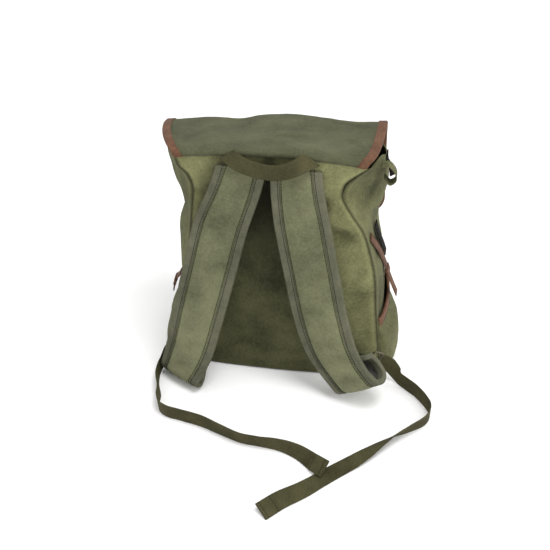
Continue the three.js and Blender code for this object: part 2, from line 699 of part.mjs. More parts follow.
function pocketSurface(side, u, v) {
  const height = v / pocketMouth(u);
  const share = (u - POCKET_START) / (POCKET_END - POCKET_START);
  const round = Math.sqrt(Math.max(Math.sin(Math.PI * THREE.MathUtils.clamp(share, 0, 1)), 0));
  const foot = Math.sqrt(1 - (1 - THREE.MathUtils.clamp(height / 0.22, 0, 1)) ** 2);
  const drawn = THREE.MathUtils.clamp((height - POCKET_BULGE) / (POCKET_COLLAR - POCKET_BULGE), 0, 1);
  const lid = 1 - (1 - POCKET_MOUTH_SLACK) * drawn;
  const point = sideWall(side, u, v);
  point.x += SIDES[side] * (POCKET_BELLY[side] * round * foot * lid + POCKET_STAND_OFF);
  return point;
}

// Places on the pocket: n is the distance out of its inner face, seen from above
function pocketPoint(side, u, v, n) {
  const step = 0.004;
  const slope = pocketSurface(side, u, v + step).sub(pocketSurface(side, u, v - step));
  const outward = new THREE.Vector3(SIDES[side] * slope.z, 0, -SIDES[side] * slope.x).normalize();
  return pocketSurface(side, u, v).addScaledVector(outward, n);
}

function makePocket(side) {
  const base = (CANVAS + 2 * SEW_GAP) / BODY_HEIGHT;
  const rows = [0, 0.06, 0.16, 0.3, POCKET_BULGE, POCKET_COLLAR, 1];
  const pocket = slab(`side_pocket_${side}`, 'canvas', 8, 6, (u, v, face) => {
    const along = lerp(POCKET_START, POCKET_END, u);
    const height = Math.max(pocketMouth(along) * rows[Math.round(v * 6)], base);
    return pocketPoint(side, along, height, face * CANVAS);
  });
  const outline = [];
  const steps = 8;
  for (let i = 0; i <= steps; i += 1) {
    outline.push({ a: lerp(POCKET_START, POCKET_END, i / steps), b: 0, inward: { a: 0, b: 1 } });
  }
  const point = (a, b, n) => (
    pocketPoint(side, a, pocketMouth(a) - b / BODY_HEIGHT, n + CANVAS / 2)
  );
  const binding = wrapEdge(
    `pocket_binding_${side}`, 'leather', outline, point, MOUTH_BINDING_WIDTH, LEATHER, CANVAS / 2, CANVAS / 2,
  );
  return [pocket, binding];
}

// Plain band along table rows, with its width along a given direction
function makeBand(name, material, rows, width, thickness, steps, acrossOf) {
  const way = bandWay(rows, bagPlace, (a, b, t, tangent) => acrossOf(t, tangent, a, b));
  const mesh = slab(name, material, 2, steps, (u, v, face) => (
    way.point((u - 0.5) * width, v * way.length, (face - 0.5) * thickness)
  ));
  return { way, mesh };
}

// Leather pocket strap with the keeper that it passes through
function makePocketStrap(side) {
  const rows = POCKET_STRAP_LINES[side];
  const across = () => new THREE.Vector3(SIDES[side] * 0.12, 0.99, 0.05);
  const strap = makeBand(
    `pocket_strap_${side}`, 'leather', rows, THIN_STRAP_WIDTH, LEATHER * 1.5, 10, across,
  );
  const at = strap.way.length * 0.62;
  const ringCorners = [[-1, -1], [0, -1], [1, -1], [1, 1], [0, 1], [-1, 1]];
  const keeper = slab(`pocket_keeper_${side}`, 'leather', ringCorners.length, 1, (u, v, face) => {
    const [a, b] = ringCorners[Math.round(u * ringCorners.length) % ringCorners.length];
    const grow = SEW_GAP + face * LEATHER;
    const t = a * (THIN_STRAP_WIDTH / 2 + grow);
    const n = b * (LEATHER * 0.75 + grow);
    return strap.way.point(t, at + (v - 0.5) * KEEPER_WIDTH, n);
  }, true);
  return [strap.mesh, keeper];
}

// Dark straps and the canvas loop of the right side
function makeRightSideStraps() {
  const turned = (t, tangent, a, b) => {
    const turn = rad(lerp(a.turn, b.turn, t));
    return new THREE.Vector3(Math.cos(turn), Math.sin(turn), 0);
  };
  const hold = makeBand(
    'hold_strap_right', 'darkLeather', HOLD_STRAP_LINE, HOLD_STRAP_WIDTH, LEATHER * 1.5, 6, turned,
  );
  const loop = makeBand('side_loop_right', 'canvas', SIDE_LOOP_LINE, LOOP_WIDTH, CANVAS, 12,
    () => new THREE.Vector3(0, 1, 0));
  const thong = makeBand(
    'side_thong_right', 'darkLeather', THONG_LINE, THONG_WIDTH, LEATHER * 1.5, 5, turned,
  );
  return [hold.mesh, loop.mesh, thong.mesh];
}

// Line of a webbing that stands upright on its lower edge
function uprightWay(rows) {
  const place = (row) => new THREE.Vector3(
    row.across * HALF_WIDTH,
    row.out * BODY_DEPTH,
    row.rise * WEBBING_WIDTH,
  );
  return bandWay(rows, place, () => new THREE.Vector3(0, 0, 1));
}

// Plain buckle where each tail starts, and the webbing that holds it to the back panel
function makeStrapFoot(side) {
  const way = tailWay(side);
  const middle = -BUCKLE_LENGTH / 2 - 2 * SEW_GAP;
  const ring = [[-1, -1], [1, -1], [1, 1], [-1, 1]];
  const buckle = slab(`strap_buckle_${side}`, 'metal', ring.length, 1, (u, v, face) => {
    const [a, b] = ring[Math.round(u * ring.length) % ring.length];
    const t = WEBBING_WIDTH / 2 + a * (BUCKLE_WIDTH / 2 - face * BUCKLE_THICKNESS);
    const s = middle + b * (BUCKLE_LENGTH / 2 - face * BUCKLE_THICKNESS);
    return way.point(t, s, (v - 0.5) * BUCKLE_THICKNESS);
  }, true);
  const anchorWay = uprightWay(ANCHOR_LINES[side]);
  const anchor = slab(`anchor_webbing_${side}`, 'webbing', 1, 6, (u, v, face) => (
    anchorWay.point(u * WEBBING_WIDTH, v * anchorWay.length, (face - 0.5) * WEBBING)
  ));
  return [buckle, anchor];
}

const part = new THREE.Group();
part.add(makeWall('back_panel', 10));
part.add(makeWall('side_panel_right', 6));
part.add(makeWall('front_panel', 8));
part.add(makeWall('side_panel_left', 6));
part.add(makeBottom());
part.add(makeFlap());
part.add(makeFlapBinding());
part.add(...makeStrap('left'));
part.add(...makeStrap('right'));
part.add(makeTail('left'));
part.add(makeTail('right'));
part.add(makeHandle());
for (const side of ['left', 'right']) {
  part.add(...makePocket(side));
  part.add(...makePocketStrap(side));
  part.add(...makeStrapFoot(side));
}
part.add(...makeRightSideStraps());

export default part;
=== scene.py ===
"""Canvas backpack standing on its base, seen from its carrying side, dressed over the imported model.

Sizes and tables are in millimetres, in the model's own frame; meshes are made in metres.
"""

import math

import bmesh
import bpy
import numpy as np
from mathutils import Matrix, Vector, noise


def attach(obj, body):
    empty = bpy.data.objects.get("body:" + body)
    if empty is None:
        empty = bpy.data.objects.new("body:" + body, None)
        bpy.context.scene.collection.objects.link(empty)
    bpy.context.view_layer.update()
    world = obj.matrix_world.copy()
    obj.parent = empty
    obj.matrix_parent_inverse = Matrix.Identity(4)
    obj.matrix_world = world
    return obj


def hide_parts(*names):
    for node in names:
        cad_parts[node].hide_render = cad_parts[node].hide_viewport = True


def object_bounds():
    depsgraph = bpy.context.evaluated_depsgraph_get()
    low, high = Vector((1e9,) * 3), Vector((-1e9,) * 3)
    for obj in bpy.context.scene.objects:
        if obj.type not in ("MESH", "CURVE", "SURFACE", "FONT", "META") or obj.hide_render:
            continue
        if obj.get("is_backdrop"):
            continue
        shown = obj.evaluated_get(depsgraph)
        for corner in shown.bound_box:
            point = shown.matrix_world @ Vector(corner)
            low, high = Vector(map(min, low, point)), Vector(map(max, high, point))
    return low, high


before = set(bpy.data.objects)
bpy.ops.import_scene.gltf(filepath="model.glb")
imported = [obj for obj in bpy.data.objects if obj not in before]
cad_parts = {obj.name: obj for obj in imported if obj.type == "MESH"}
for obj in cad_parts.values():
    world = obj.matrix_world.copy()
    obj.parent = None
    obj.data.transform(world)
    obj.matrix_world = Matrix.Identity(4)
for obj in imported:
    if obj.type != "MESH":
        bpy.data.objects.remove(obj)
CAD_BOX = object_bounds()

MM = 0.001

# Sizes of the bag
BODY_WIDTH = 336
BODY_DEPTH = 138
BODY_HEIGHT = 351
HALF_WIDTH = BODY_WIDTH / 2
SEAM_RISE = 9
SEAM_SPAN = 0.83
MOUTH_DROP = 18
MOUTH_LIFT = 9
CANVAS = 1.6
SEW_GAP = 0.3

# Sizes of the flap
FLAP_THICKNESS = 2.4
FLAP_FALL = 150
FLAP_CORNER_RADIUS = 34
FLAP_LENGTH = BODY_DEPTH * 1.17 + FLAP_FALL
LEATHER = 1.2
FLAP_BINDING_WIDTH = 10

# Sizes of the shoulder straps
STRAP_WIDTH = 75
STRAP_NECK = 4
STRAP_NECK_LENGTH = 90
STRAP_TIP_WIDTH = 46
STRAP_TAPER = 48
STRAP_PADDING = 6
STRAP_EDGE = 3
STRAP_LINING = 1
TAPE = 1.1
TAPE_WIDTH = 10
TAPE_STITCH_INSET = TAPE_WIDTH - 2.0
PAD_STITCH_INSET = TAPE_WIDTH + 2.8

# Sizes of the webbing, the hardware and the small straps
WEBBING_WIDTH = 25
WEBBING = 1.5
WEBBING_HEM = 24
BUCKLE_WIDTH = 33
BUCKLE_LENGTH = 18
BUCKLE_THICKNESS = 3
POCKET_MOUTH_HEIGHT = 103
POCKET_MOUTH_RISE = 14
POCKET_MOUTH_SLACK = 0.15
POCKET_BULGE = 0.6
POCKET_COLLAR = 0.87
POCKET_BELLY = {"left": 13, "right": 17}
POCKET_STAND_OFF = LEATHER + 3 * SEW_GAP
POCKET_START = 0.03
POCKET_END = 0.96
MOUTH_BINDING_WIDTH = 10
THIN_STRAP_WIDTH = 14
HOLD_STRAP_WIDTH = 15
KEEPER_WIDTH = 12
LOOP_WIDTH = 22
THONG_WIDTH = 12
SIDES = {"left": -1, "right": 1}

# Painted shadow on the back panel between the straps and painted light outside them, as shares of its colour
PAINTED_SHADOW_LOW = 0.4
PAINTED_SHADOW_HIGH = 0.46
PAINTED_LIGHT_OUTSIDE = 0.4
PAINTED_LIGHT_RIGHT = 1.9

# Camera that stands where the photograph's did
CAMERA_PLACE = (167.4, -1105.8, 853)
CAMERA_YAW = 9
CAMERA_PITCH = 33
CAMERA_LENS = 55.6


def table(columns, rows):
    """Rows of a table as one array for each named column."""
    values = np.array(rows, float)
    return {name: values[:, i] for i, name in enumerate(columns.split())}


BODY_WIDTHS = table("height backLeft backRight frontLeft frontRight sideLeft sideRight", [
    (0, 0.93, 0.94, 0.92, 0.92, 0.97, 0.98),
    (0.04, 0.97, 0.99, 0.97, 0.97, 1, 1.02),
    (0.15, 0.93, 0.97, 0.97, 0.97, 0.96, 1.01),
    (0.32, 0.86, 0.93, 0.95, 0.95, 0.92, 0.98),
    (0.52, 0.77, 0.89, 0.92, 0.905, 0.935, 0.95),
    (0.64, 0.73, 0.83, 0.89, 0.86, 0.925, 0.88),
    (0.72, 0.715, 0.77, 0.88, 0.86, 0.875, 0.855),
    (0.8, 0.695, 0.655, 0.88, 0.85, 0.905, 0.895),
    (0.865, 0.685, 0.58, 0.88, 0.85, 0.96, 0.91),
    (0.92, 0.72, 0.6, 0.88, 0.85, 0.985, 0.915),
    (0.96, 0.79, 0.68, 0.88, 0.85, 0.99, 0.91),
    (1, 0.82, 0.78, 0.88, 0.85, 0.98, 0.9),
])
BODY_DEPTHS = table("height back front backCrown frontCrown", [
    (0, 0, 0.95, 0.07, 0.02),
    (0.04, 0, 1, 0.065, 0.05),
    (0.15, 0, 1, 0.045, 0.08),
    (0.32, 0, 1, 0.04, 0.11),
    (0.52, 0, 1, 0.03, 0.1),
    (0.64, 0, 1, 0.02, 0.08),
    (0.72, 0, 1, 0.01, 0.06),
    (0.8, 0, 1, 0, 0.05),
    (0.865, 0.01, 1, 0, 0.05),
    (0.92, 0.01, 1, 0, 0.04),
    (0.96, 0, 1, 0, 0.04),
    (1, 0, 1, 0, 0.03),
])
FLAP_STATIONS = table("along depth lift fall left right tilt seam wave", [
    (0, 0, 0.0035, 0, 0.8, 0.74, 0, 1, 0),
    (0.03, 0.01, 0.045, 0, 0.83, 0.765, 0, 0.9, 0),
    (0.1, 0.12, 0.09, 0, 0.895, 0.815, 0.01, 0.5, 0.1),
    (0.2, 0.35, 0.11, 0, 0.975, 0.845, 0.03, 0.2, 0.3),
    (0.3, 0.62, 0.115, 0, 1.04, 0.86, 0.06, 0.1, 0.6),
    (0.4, 0.88, 0.12, 0, 1.08, 0.868, 0.1, 0.1, 1),
    (0.46, 1.04, 0.09, 0.02, 1.085, 0.868, 0.1, 0.1, 1),
    (0.52, 1.12, 0.02, 0.14, 1.07, 0.868, 0.08, 0.1, 0.6),
    (0.74, 1.16, 0, 0.55, 1.02, 0.88, 0.04, 0, 0.2),
    (1, 1.14, 0, 1, 0.96, 0.9, 0.02, 0, 0),
])
FLAP_CREST = table("across lift", [
    (0, -0.04),
    (0.1, -0.02),
    (0.22, 0),
    (0.345, -0.018),
    (0.43, 0.022),
    (0.52, 0.04),
    (0.62, 0.04),
    (0.73, 0.01),
    (0.88, -0.022),
    (1, -0.013),
])
STRAP_LINES = {
    "left": table("across out up turn rise", [
        (-0.253, -0.534, 0.985, 0, 0),
        (-0.313, -0.592, 0.885, 0, 0),
        (-0.42, -0.66, 0.745, -2, 0),
        (-0.52, -0.735, 0.548, -4, 0),
        (-0.627, -0.82, 0.337, -9, 0),
        (-0.712, -0.885, 0.17, -19, 0),
        (-0.775, -0.94, 0.085, -29, 1),
        (-0.805, -0.955, 0.05, -34, 2),
        (-0.768, -0.875, 0.0205, -35, 2),
        (-0.722, -0.79, 0.055, -35, 2),
        (-0.712, -0.76, 0.105, -34, 0),
        (-0.708, -0.74, 0.155, -32, 0),
    ]),
    "right": table("across out up turn rise", [
        (0.192, -0.534, 0.985, 0, 0),
        (0.218, -0.592, 0.89, 0, 0),
        (0.275, -0.66, 0.75, 0, 0),
        (0.356, -0.74, 0.58, 0, 0),
        (0.455, -0.83, 0.385, -3, 3),
        (0.555, -0.89, 0.245, -9, 10),
        (0.66, -0.955, 0.168, -17, 21),
        (0.7525, -1.035, 0.134, -22, 32),
        (0.812, -1.025, 0.099, -22, 36),
        (0.8643, -0.937, 0.085, -22, 36),
        (0.8783, -0.8282, 0.1, -22, 34),
        (0.8463, -0.7643, 0.1366, -22, 34),
        (0.8072, -0.7931, 0.1787, -22, 34),
        (0.801, -0.9, 0.2092, -22, 34),
    ]),
}
TAIL_LINES = {
    "left": table("across out rise lean", [
        (-0.865, -0.575, 0.75, 0),
        (-0.91, -0.578, 0.6, 0),
        (-0.965, -0.62, 0.35, 0),
        (-1.005, -0.72, 0.08, -2),
        (-1.015, -0.85, 0, -4),
        (-0.99, -1.02, 0, -8),
        (-0.925, -1.23, 0, -10),
        (-0.912, -1.36, 0, -6),
        (-0.87, -1.47, 0, -4),
        (-0.79, -1.53, 0, -5),
        (-0.692, -1.555, 0, -6),
        (-0.468, -1.622, 0, -4),
        (-0.275, -1.715, 0, -8),
        (-0.1, -1.79, 0, -12),
        (0.07, -1.812, 0, -12),
        (0.22, -1.84, 0, -4),
        (0.37, -1.922, 0, 12),
        (0.523, -2.085, 0.09, 36),
        (0.604, -2.162, 0.16, 48),
    ]),
    "right": table("across out rise lean", [
        (0.975, -0.563, 0.95, 0),
        (1.01, -0.552, 0.86, 0),
        (1.05, -0.546, 0.66, 0),
        (1.11, -0.565, 0.3, 0),
        (1.17, -0.62, 0.06, 0),
        (1.24, -0.69, 0, 0),
        (1.33, -0.795, 0, 0),
        (1.42, -0.955, 0, 0),
        (1.458, -1.08, 0, 0),
        (1.42, -1.23, 0, 6),
        (1.27, -1.38, 0, 20),
        (1.14, -1.475, 0, 36),
        (1.01, -1.59, 0, 56),
        (0.9, -1.7, 0, 74),
        (0.784, -1.829, 0, 86),
        (0.65, -1.98, 0, 90),
        (0.53, -2.13, 0.03, 91),
        (0.42, -2.275, 0.17, 100),
        (0.27, -2.45, 0.36, 111),
        (0.14, -2.63, 0.42, 115),
    ]),
}
ANCHOR_LINES = {
    "left": table("across out rise", [
        (-0.655, -0.5425, 0.7),
        (-0.7, -0.548, 0.72),
        (-0.753, -0.566, 0.75),
    ]),
    "right": table("across out rise", [
        (0.74, -0.544, 0.85),
        (0.79, -0.552, 0.9),
        (0.845, -0.582, 0.95),
    ]),
}
HANDLE_LINE = table("across out up tilt lean", [
    (-0.3734, -0.529, 1.0334, 0, 54),
    (-0.31, -0.5797, 1.02, -2, 40),
    (-0.2231, -0.6304, 1.008, -5, 20),
    (-0.078, -0.6812, 0.999, -8, 6),
    (0.0594, -0.7, 1.0, -10, 0),
    (0.1543, -0.6812, 1.009, -8, -8),
    (0.2366, -0.6377, 1.024, -5, -24),
    (0.2862, -0.5797, 1.0317, -2, -40),
    (0.3289, -0.529, 1.0316, 0, -53),
])
POCKET_STRAP_LINES = {
    "left": table("across out up", [
        (-0.93, -0.09, 0.36),
        (-0.955, -0.05, 0.335),
        (-0.99, 0.0, 0.31),
        (-1.02, 0.02, 0.275),
        (-1.04, 0.03, 0.23),
    ]),
    "right": table("across out up", [
        (0.829, -0.385, 0.683),
        (0.903, -0.246, 0.597),
        (0.964, -0.109, 0.4986),
        (1.022, -0.02, 0.401),
        (1.09, 0.06, 0.305),
    ]),
}
HOLD_STRAP_LINE = table("across out up turn", [
    (0.857, -0.16, 0.7, 84),
    (0.887, -0.12, 0.645, 84),
    (0.928, -0.07, 0.585, 84),
    (0.958, -0.03, 0.535, 84),
])
SIDE_LOOP_LINE = table("across out up", [
    (0.878, -0.2, 0.972),
    (0.935, -0.2, 0.976),
    (0.99, -0.2, 0.945),
    (0.995, -0.2, 0.915),
    (0.95, -0.2, 0.898),
    (0.9, -0.2, 0.92),
])
THONG_LINE = table("across out up turn", [
    (0.908, -0.01, 1.0, 90),
    (0.913, -0.02, 0.965, 84),
    (0.95, -0.06, 0.935, 60),
    (0.965, -0.07, 0.905, 50),
])

# Folds in the cloth: place and length along the piece in millimetres, angle in degrees, and the
# depth that the fold sinks (below nought) or stands up
BACK_FOLDS = table("across up angle length width depth", [
    (78, 292, 62, 46, 5, -1.6),
    (88, 283, 66, 52, 4, 1.2),
    (68, 300, 70, 36, 4, 0.8),
    (96, 246, -24, 70, 9, -2.2),
    (90, 262, -18, 60, 8, 1.4),
    (118, 182, 60, 52, 6, -1.8),
    (128, 170, 66, 60, 5, 1.1),
    (110, 120, 76, 90, 10, -1.4),
    (122, 60, 80, 80, 9, 1.0),
    (-92, 292, -50, 44, 5, -1.4),
    (-84, 280, -44, 38, 5, 0.9),
    (-112, 200, -70, 60, 8, -1.4),
    (-60, 44, 24, 70, 10, -1.8),
    (-20, 40, -18, 80, 10, -1.2),
    (20, 62, -28, 60, 10, 1.0),
    (0, 24, 2, 180, 9, 1.2),
    (40, 20, 8, 110, 7, -1.0),
    (-12, 170, 84, 160, 24, -2.0),
    (24, 200, 80, 120, 18, -1.6),
    (60, 22, -30, 60, 8, 0.9),
])
FLAP_FOLDS = table("across up angle length width depth", [
    (24, 76, 4, 90, 5, 1.2),
    (20, 66, 2, 80, 6, -1.0),
    (96, 128, -6, 110, 4, 1.3),
    (90, 118, -4, 96, 5, -1.1),
    (-70, 130, 3, 100, 4, 1.0),
    (-80, 120, 5, 90, 5, -0.8),
    (-120, 60, 60, 60, 7, -1.0),
    (110, 62, -56, 70, 8, -1.1),
    (124, 84, -66, 56, 6, 0.9),
    (52, 36, -18, 90, 8, 0.9),
    (-40, 40, 14, 80, 9, -0.8),
    (-100, 98, 40, 60, 8, 0.8),
    (70, 96, 30, 70, 9, -0.9),
])
SIDE_FOLDS = table("across up angle length width depth", [
    (54, 300, 30, 90, 9, -2.2),
    (74, 284, 24, 80, 7, 1.3),
    (60, 258, -28, 90, 10, -2.0),
    (84, 232, -20, 80, 8, 1.2),
    (40, 214, 40, 60, 8, -1.4),
    (92, 200, 50, 60, 8, -1.2),
    (24, 120, 76, 100, 8, -1.0),
    (112, 110, 80, 110, 8, -1.0),
])
STRAP_FOLDS = table("across up angle length width depth", [
    (-6, 92, 4, 50, 9, -0.9),
    (10, 152, -8, 54, 8, -0.9),
    (-8, 206, 10, 56, 9, -1.1),
    (6, 224, -4, 50, 7, 0.7),
    (-12, 262, 14, 52, 8, -1.0),
    (10, 286, -6, 52, 7, -1.2),
    (0, 306, 6, 58, 6, 0.8),
    (4, 326, 2, 56, 6, -1.1),
    (-4, 344, -4, 54, 6, 0.7),
    (2, 360, 4, 52, 6, -1.0),
])


def column(rows, key, name, at):
    """Smooth value of one column of a table at positions of its first column."""
    keys, values = rows[key], rows[name]
    at = np.asarray(at, float)
    slopes = np.empty(len(keys))
    slopes[1:-1] = (values[2:] - values[:-2]) / (keys[2:] - keys[:-2])
    slopes[0] = (values[1] - values[0]) / (keys[1] - keys[0])
    slopes[-1] = (values[-1] - values[-2]) / (keys[-1] - keys[-2])
    i = np.clip(np.searchsorted(keys, at, side="right") - 1, 0, len(keys) - 2)
    span = keys[i + 1] - keys[i]
    t = np.clip((at - keys[i]) / span, 0, 1)
    t2, t3 = t * t, t * t * t
    return (
        (2 * t3 - 3 * t2 + 1) * values[i]
        + (t3 - 2 * t2 + t) * span * slopes[i]
        + (3 * t2 - 2 * t3) * values[i + 1]
        + (t3 - t2) * span * slopes[i + 1]
    )


def smoothstep(x, low, high):
    t = np.clip((x - low) / (high - low), 0, 1)
    return t * t * (3 - 2 * t)


def unit(v):
    return v / np.maximum(np.linalg.norm(v, axis=-1, keepdims=True), 1e-12)


def points_of(x, y, z):
    return np.stack(np.broadcast_arrays(x, y, z), -1).astype(float)


def share_grid(rows, columns):
    """Shares across and along of a grid of points."""
    along, across = np.meshgrid(np.linspace(0, 1, rows + 1), np.linspace(0, 1, columns + 1), indexing="ij")
    return across, along


def normals_of(points):
    """Unit normals of a grid of points."""
    across = np.gradient(points, axis=1)
    along = np.gradient(points, axis=0)
    return unit(np.cross(across, along))


def ruffle(points, size, seed):
    """Smooth noise from -1 to 1 over points in millimetres, with bumps of about a size."""
    shift = Vector((seed * 7.13, seed * 3.71, seed * 5.39))
    flat = points.reshape(-1, 3) / size
    values = [noise.noise(Vector(p) + shift) for p in flat]
    return np.array(values).reshape(points.shape[:-1])


def fold_field(across, up, folds):
    """Height of the cloth over its plain surface from a table of folds."""
    total = np.zeros(np.broadcast(across, up).shape)
    for a, b, angle, length, width, depth in zip(*(folds[key] for key in folds)):
        turn = math.radians(angle)
        along = (across - a) * math.cos(turn) + (up - b) * math.sin(turn)
        off = (up - b) * math.cos(turn) - (across - a) * math.sin(turn)
        reach = np.clip(1 - (2 * along / length) ** 2, 0, 1) ** 2
        total += depth * reach * np.exp(-((off / width) ** 2))
    return total


def lengths_along(points, axis):
    """Distance along a grid's rows or columns from its first point."""
    steps = np.linalg.norm(np.diff(points, axis=axis), axis=-1)
    zero = np.zeros_like(np.take(steps, [0], axis=axis))
    return np.concatenate([zero, np.cumsum(steps, axis=axis)], axis=axis)


# Meshes

def grid_piece(name, outer, inner, material, looped=False, wear_and_shade=None, shade=None):
    """Closed piece between two facing grids of points, with a UV map in metres, its wear with painted crease
    shade, and its painted shade.
    """
    rows, columns = outer.shape[0] - 1, outer.shape[1] - 1
    count = (rows + 1) * (columns + 1)

    def quads(j, i, corners):
        return np.stack(
            [side * count + (j + dj) * (columns + 1) + i + di for side, dj, di in corners], -1
        ).reshape(-1, 4)

    j, i = np.mgrid[0:rows, 0:columns]
    faces = [
        quads(j, i, [(0, 0, 0), (0, 0, 1), (0, 1, 1), (0, 1, 0)]),
        quads(j, i, [(1, 0, 0), (1, 1, 0), (1, 1, 1), (1, 0, 1)]),
    ]
    i = np.arange(columns)
    faces.append(quads(0 * i, i, [(0, 0, 0), (1, 0, 0), (1, 0, 1), (0, 0, 1)]))
    faces.append(quads(0 * i + rows, i, [(0, 0, 0), (0, 0, 1), (1, 0, 1), (1, 0, 0)]))
    if not looped:
        j = np.arange(rows)
        faces.append(quads(j, 0 * j, [(0, 0, 0), (0, 1, 0), (1, 1, 0), (1, 0, 0)]))
        faces.append(quads(j, 0 * j + columns, [(0, 0, 0), (1, 0, 0), (1, 1, 0), (0, 1, 0)]))
    faces = np.concatenate(faces)
    points = np.concatenate([outer.reshape(-1, 3), inner.reshape(-1, 3)])
    a, b, c, d = (points[faces[:, k]] for k in range(4))
    volume = np.einsum("ij,ij->", a, np.cross(b, c)) + np.einsum("ij,ij->", a, np.cross(c, d))
    if volume < 0:
        faces = faces[:, ::-1]
    u = lengths_along(outer, 1)
    v = lengths_along(outer, 0)[:, [columns // 2]] + 0 * u
    u = u - u[:, [columns // 2]]
    uv = np.tile(np.stack([u, v], -1).reshape(-1, 2), (2, 1)) * MM
    corner_uv = uv[faces.ravel()]
    if looped:
        shared = faces % (columns + 1) == columns
        faces = np.where(shared, faces - columns, faces)
    mesh = bpy.data.meshes.new(name)
    mesh.from_pydata((points * MM).tolist(), [], faces.tolist())
    layer = mesh.uv_layers.new(name="UVMap")
    layer.data.foreach_set("uv", corner_uv.astype(np.float32).ravel())
    for label, given in (("wear_and_shade", wear_and_shade), ("shade", shade)):
        layer = mesh.attributes.new(label, "FLOAT", "POINT")
        values = np.zeros(outer.shape[:2]) if given is None else given
        layer.data.foreach_set("value", np.tile(values.ravel(), 2).astype(np.float32))
    mesh.shade_smooth()
    mesh.set_sharp_from_angle(angle=math.radians(50))
    piece = bpy.data.objects.new(name, mesh)
    bpy.context.scene.collection.objects.link(piece)
    if looped:
        drop_loose_points(mesh)
    mesh.materials.append(material)
    return piece


def drop_loose_points(mesh):
    """Removes points that no face uses."""
    used = set()
    for polygon in mesh.polygons:
        used.update(polygon.vertices)
    if len(used) == len(mesh.vertices):
        return
    work = bmesh.new()
    work.from_mesh(mesh)
    loose = [v for v in work.verts if not v.link_faces]
    bmesh.ops.delete(work, geom=loose, context="VERTS")
    work.to_mesh(mesh)
    work.free()


def dress(piece, slot, *nodes):
    """Lets a piece ride with the bag and lets it stand for its nodes; its slot is not used."""
    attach(piece, "root")
    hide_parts(*nodes)
    return piece


def declare_cloth(piece, outer):
    """Works out a sheet of cloth's cut size along its own surface, and does nothing more with it."""
    width = lengths_along(outer, 1)[:, -1].max() * MM
    length = lengths_along(outer, 0)[-1].max() * MM


# Finishes

def linear(red, green, blue):
    """Colour as seen on screen, from 0 to 255, as the numbers that a shader reads."""
    return tuple(
        ((c / 255 + 0.055) / 1.055) ** 2.4 if c > 10 else c / 255 / 12.92 for c in (red, green, blue)
    ) + (1,)


def node(tree, kind, values=None, **settings):
    made = tree.nodes.new(kind)
    for name, value in settings.items():
        setattr(made, name, value)
    for key, value in (values or {}).items():
        if isinstance(value, bpy.types.NodeSocket):
            tree.links.new(value, made.inputs[key])
        else:
            made.inputs[key].default_value = value
    return made


def new_group(name, inputs, outputs):
    """Empty shader group with named inputs and outputs, and its two end nodes."""
    group = bpy.data.node_groups.new(name, "ShaderNodeTree")
    for label, kind, value in inputs:
        socket = group.interface.new_socket(label, in_out="INPUT", socket_type=kind)
        if value is not None:
            socket.default_value = value
    for label, kind in outputs:
        group.interface.new_socket(label, in_out="OUTPUT", socket_type=kind)
    return group, group.nodes.new("NodeGroupInput"), group.nodes.new("NodeGroupOutput")


def maths(tree, operation, a, b=0.0):
    return node(tree, "ShaderNodeMath", {0: a, 1: b}, operation=operation).outputs[0]


def weave_group():
    """Plain weave: threads of a pitch that cross over and under, as a height from 0 to 1."""
    inputs = [("Vector", "NodeSocketVector", None), ("Pitch", "NodeSocketFloat", 0.0008)]
    group, start, end = new_group("Plain weave", inputs, [("Height", "NodeSocketFloat")])
    parts = node(group, "ShaderNodeSeparateXYZ", {0: start.outputs["Vector"]})
    slub = node(
        group, "ShaderNodeTexNoise", {"Vector": start.outputs["Vector"], "Scale": 900.0, "Detail": 2.0}
    )
    waves = []
    for axis in (0, 1):
        turns = maths(group, "DIVIDE", parts.outputs[axis], start.outputs["Pitch"])
        waves.append(maths(group, "SINE", maths(group, "MULTIPLY", turns, math.pi)))
    cross = maths(group, "MULTIPLY", waves[0], waves[1])
    over = maths(group, "GREATER_THAN", cross, 0.0)
    warp = maths(group, "ABSOLUTE", waves[0])
    weft = maths(group, "ABSOLUTE", waves[1])
    chosen = node(group, "ShaderNodeMix", {0: over, 2: warp, 3: weft})
    height = maths(
        group,
        "ADD",
        maths(group, "MULTIPLY", chosen.outputs[0], 0.7),
        maths(group, "MULTIPLY", slub.outputs[0], 0.5),
    )
    group.links.new(height, end.inputs["Height"])
    return group


def rib_group():
    """Ribs across a webbing or tape, split into yarns, as a height from 0 to 1."""
    inputs = [
        ("Vector", "NodeSocketVector", None),
        ("Rib", "NodeSocketFloat", 0.0016),
        ("Yarn", "NodeSocketFloat", 0.0012),
    ]
    group, start, end = new_group("Webbing ribs", inputs, [("Height", "NodeSocketFloat")])
    parts = node(group, "ShaderNodeSeparateXYZ", {0: start.outputs["Vector"]})
    across = maths(group, "DIVIDE", parts.outputs[0], start.outputs["Yarn"])
    along = maths(group, "DIVIDE", parts.outputs[1], start.outputs["Rib"])
    zigzag = maths(
        group,
        "ABSOLUTE",
        maths(group, "SUBTRACT", maths(group, "FRACT", maths(group, "MULTIPLY", across, 0.25)), 0.5),
    )
    ribs = maths(
        group,
        "SINE",
        maths(
            group,
            "MULTIPLY",
            maths(group, "ADD", along, maths(group, "MULTIPLY", zigzag, 1.2)),
            2 * math.pi,
        ),
    )
    yarns = maths(group, "SINE", maths(group, "MULTIPLY", across, 2 * math.pi))
    height = maths(
        group, "ADD", maths(group, "MULTIPLY", ribs, 0.32), maths(group, "MULTIPLY", yarns, 0.14)
    )
    group.links.new(maths(group, "ADD", height, 0.5), end.inputs["Height"])
    return group


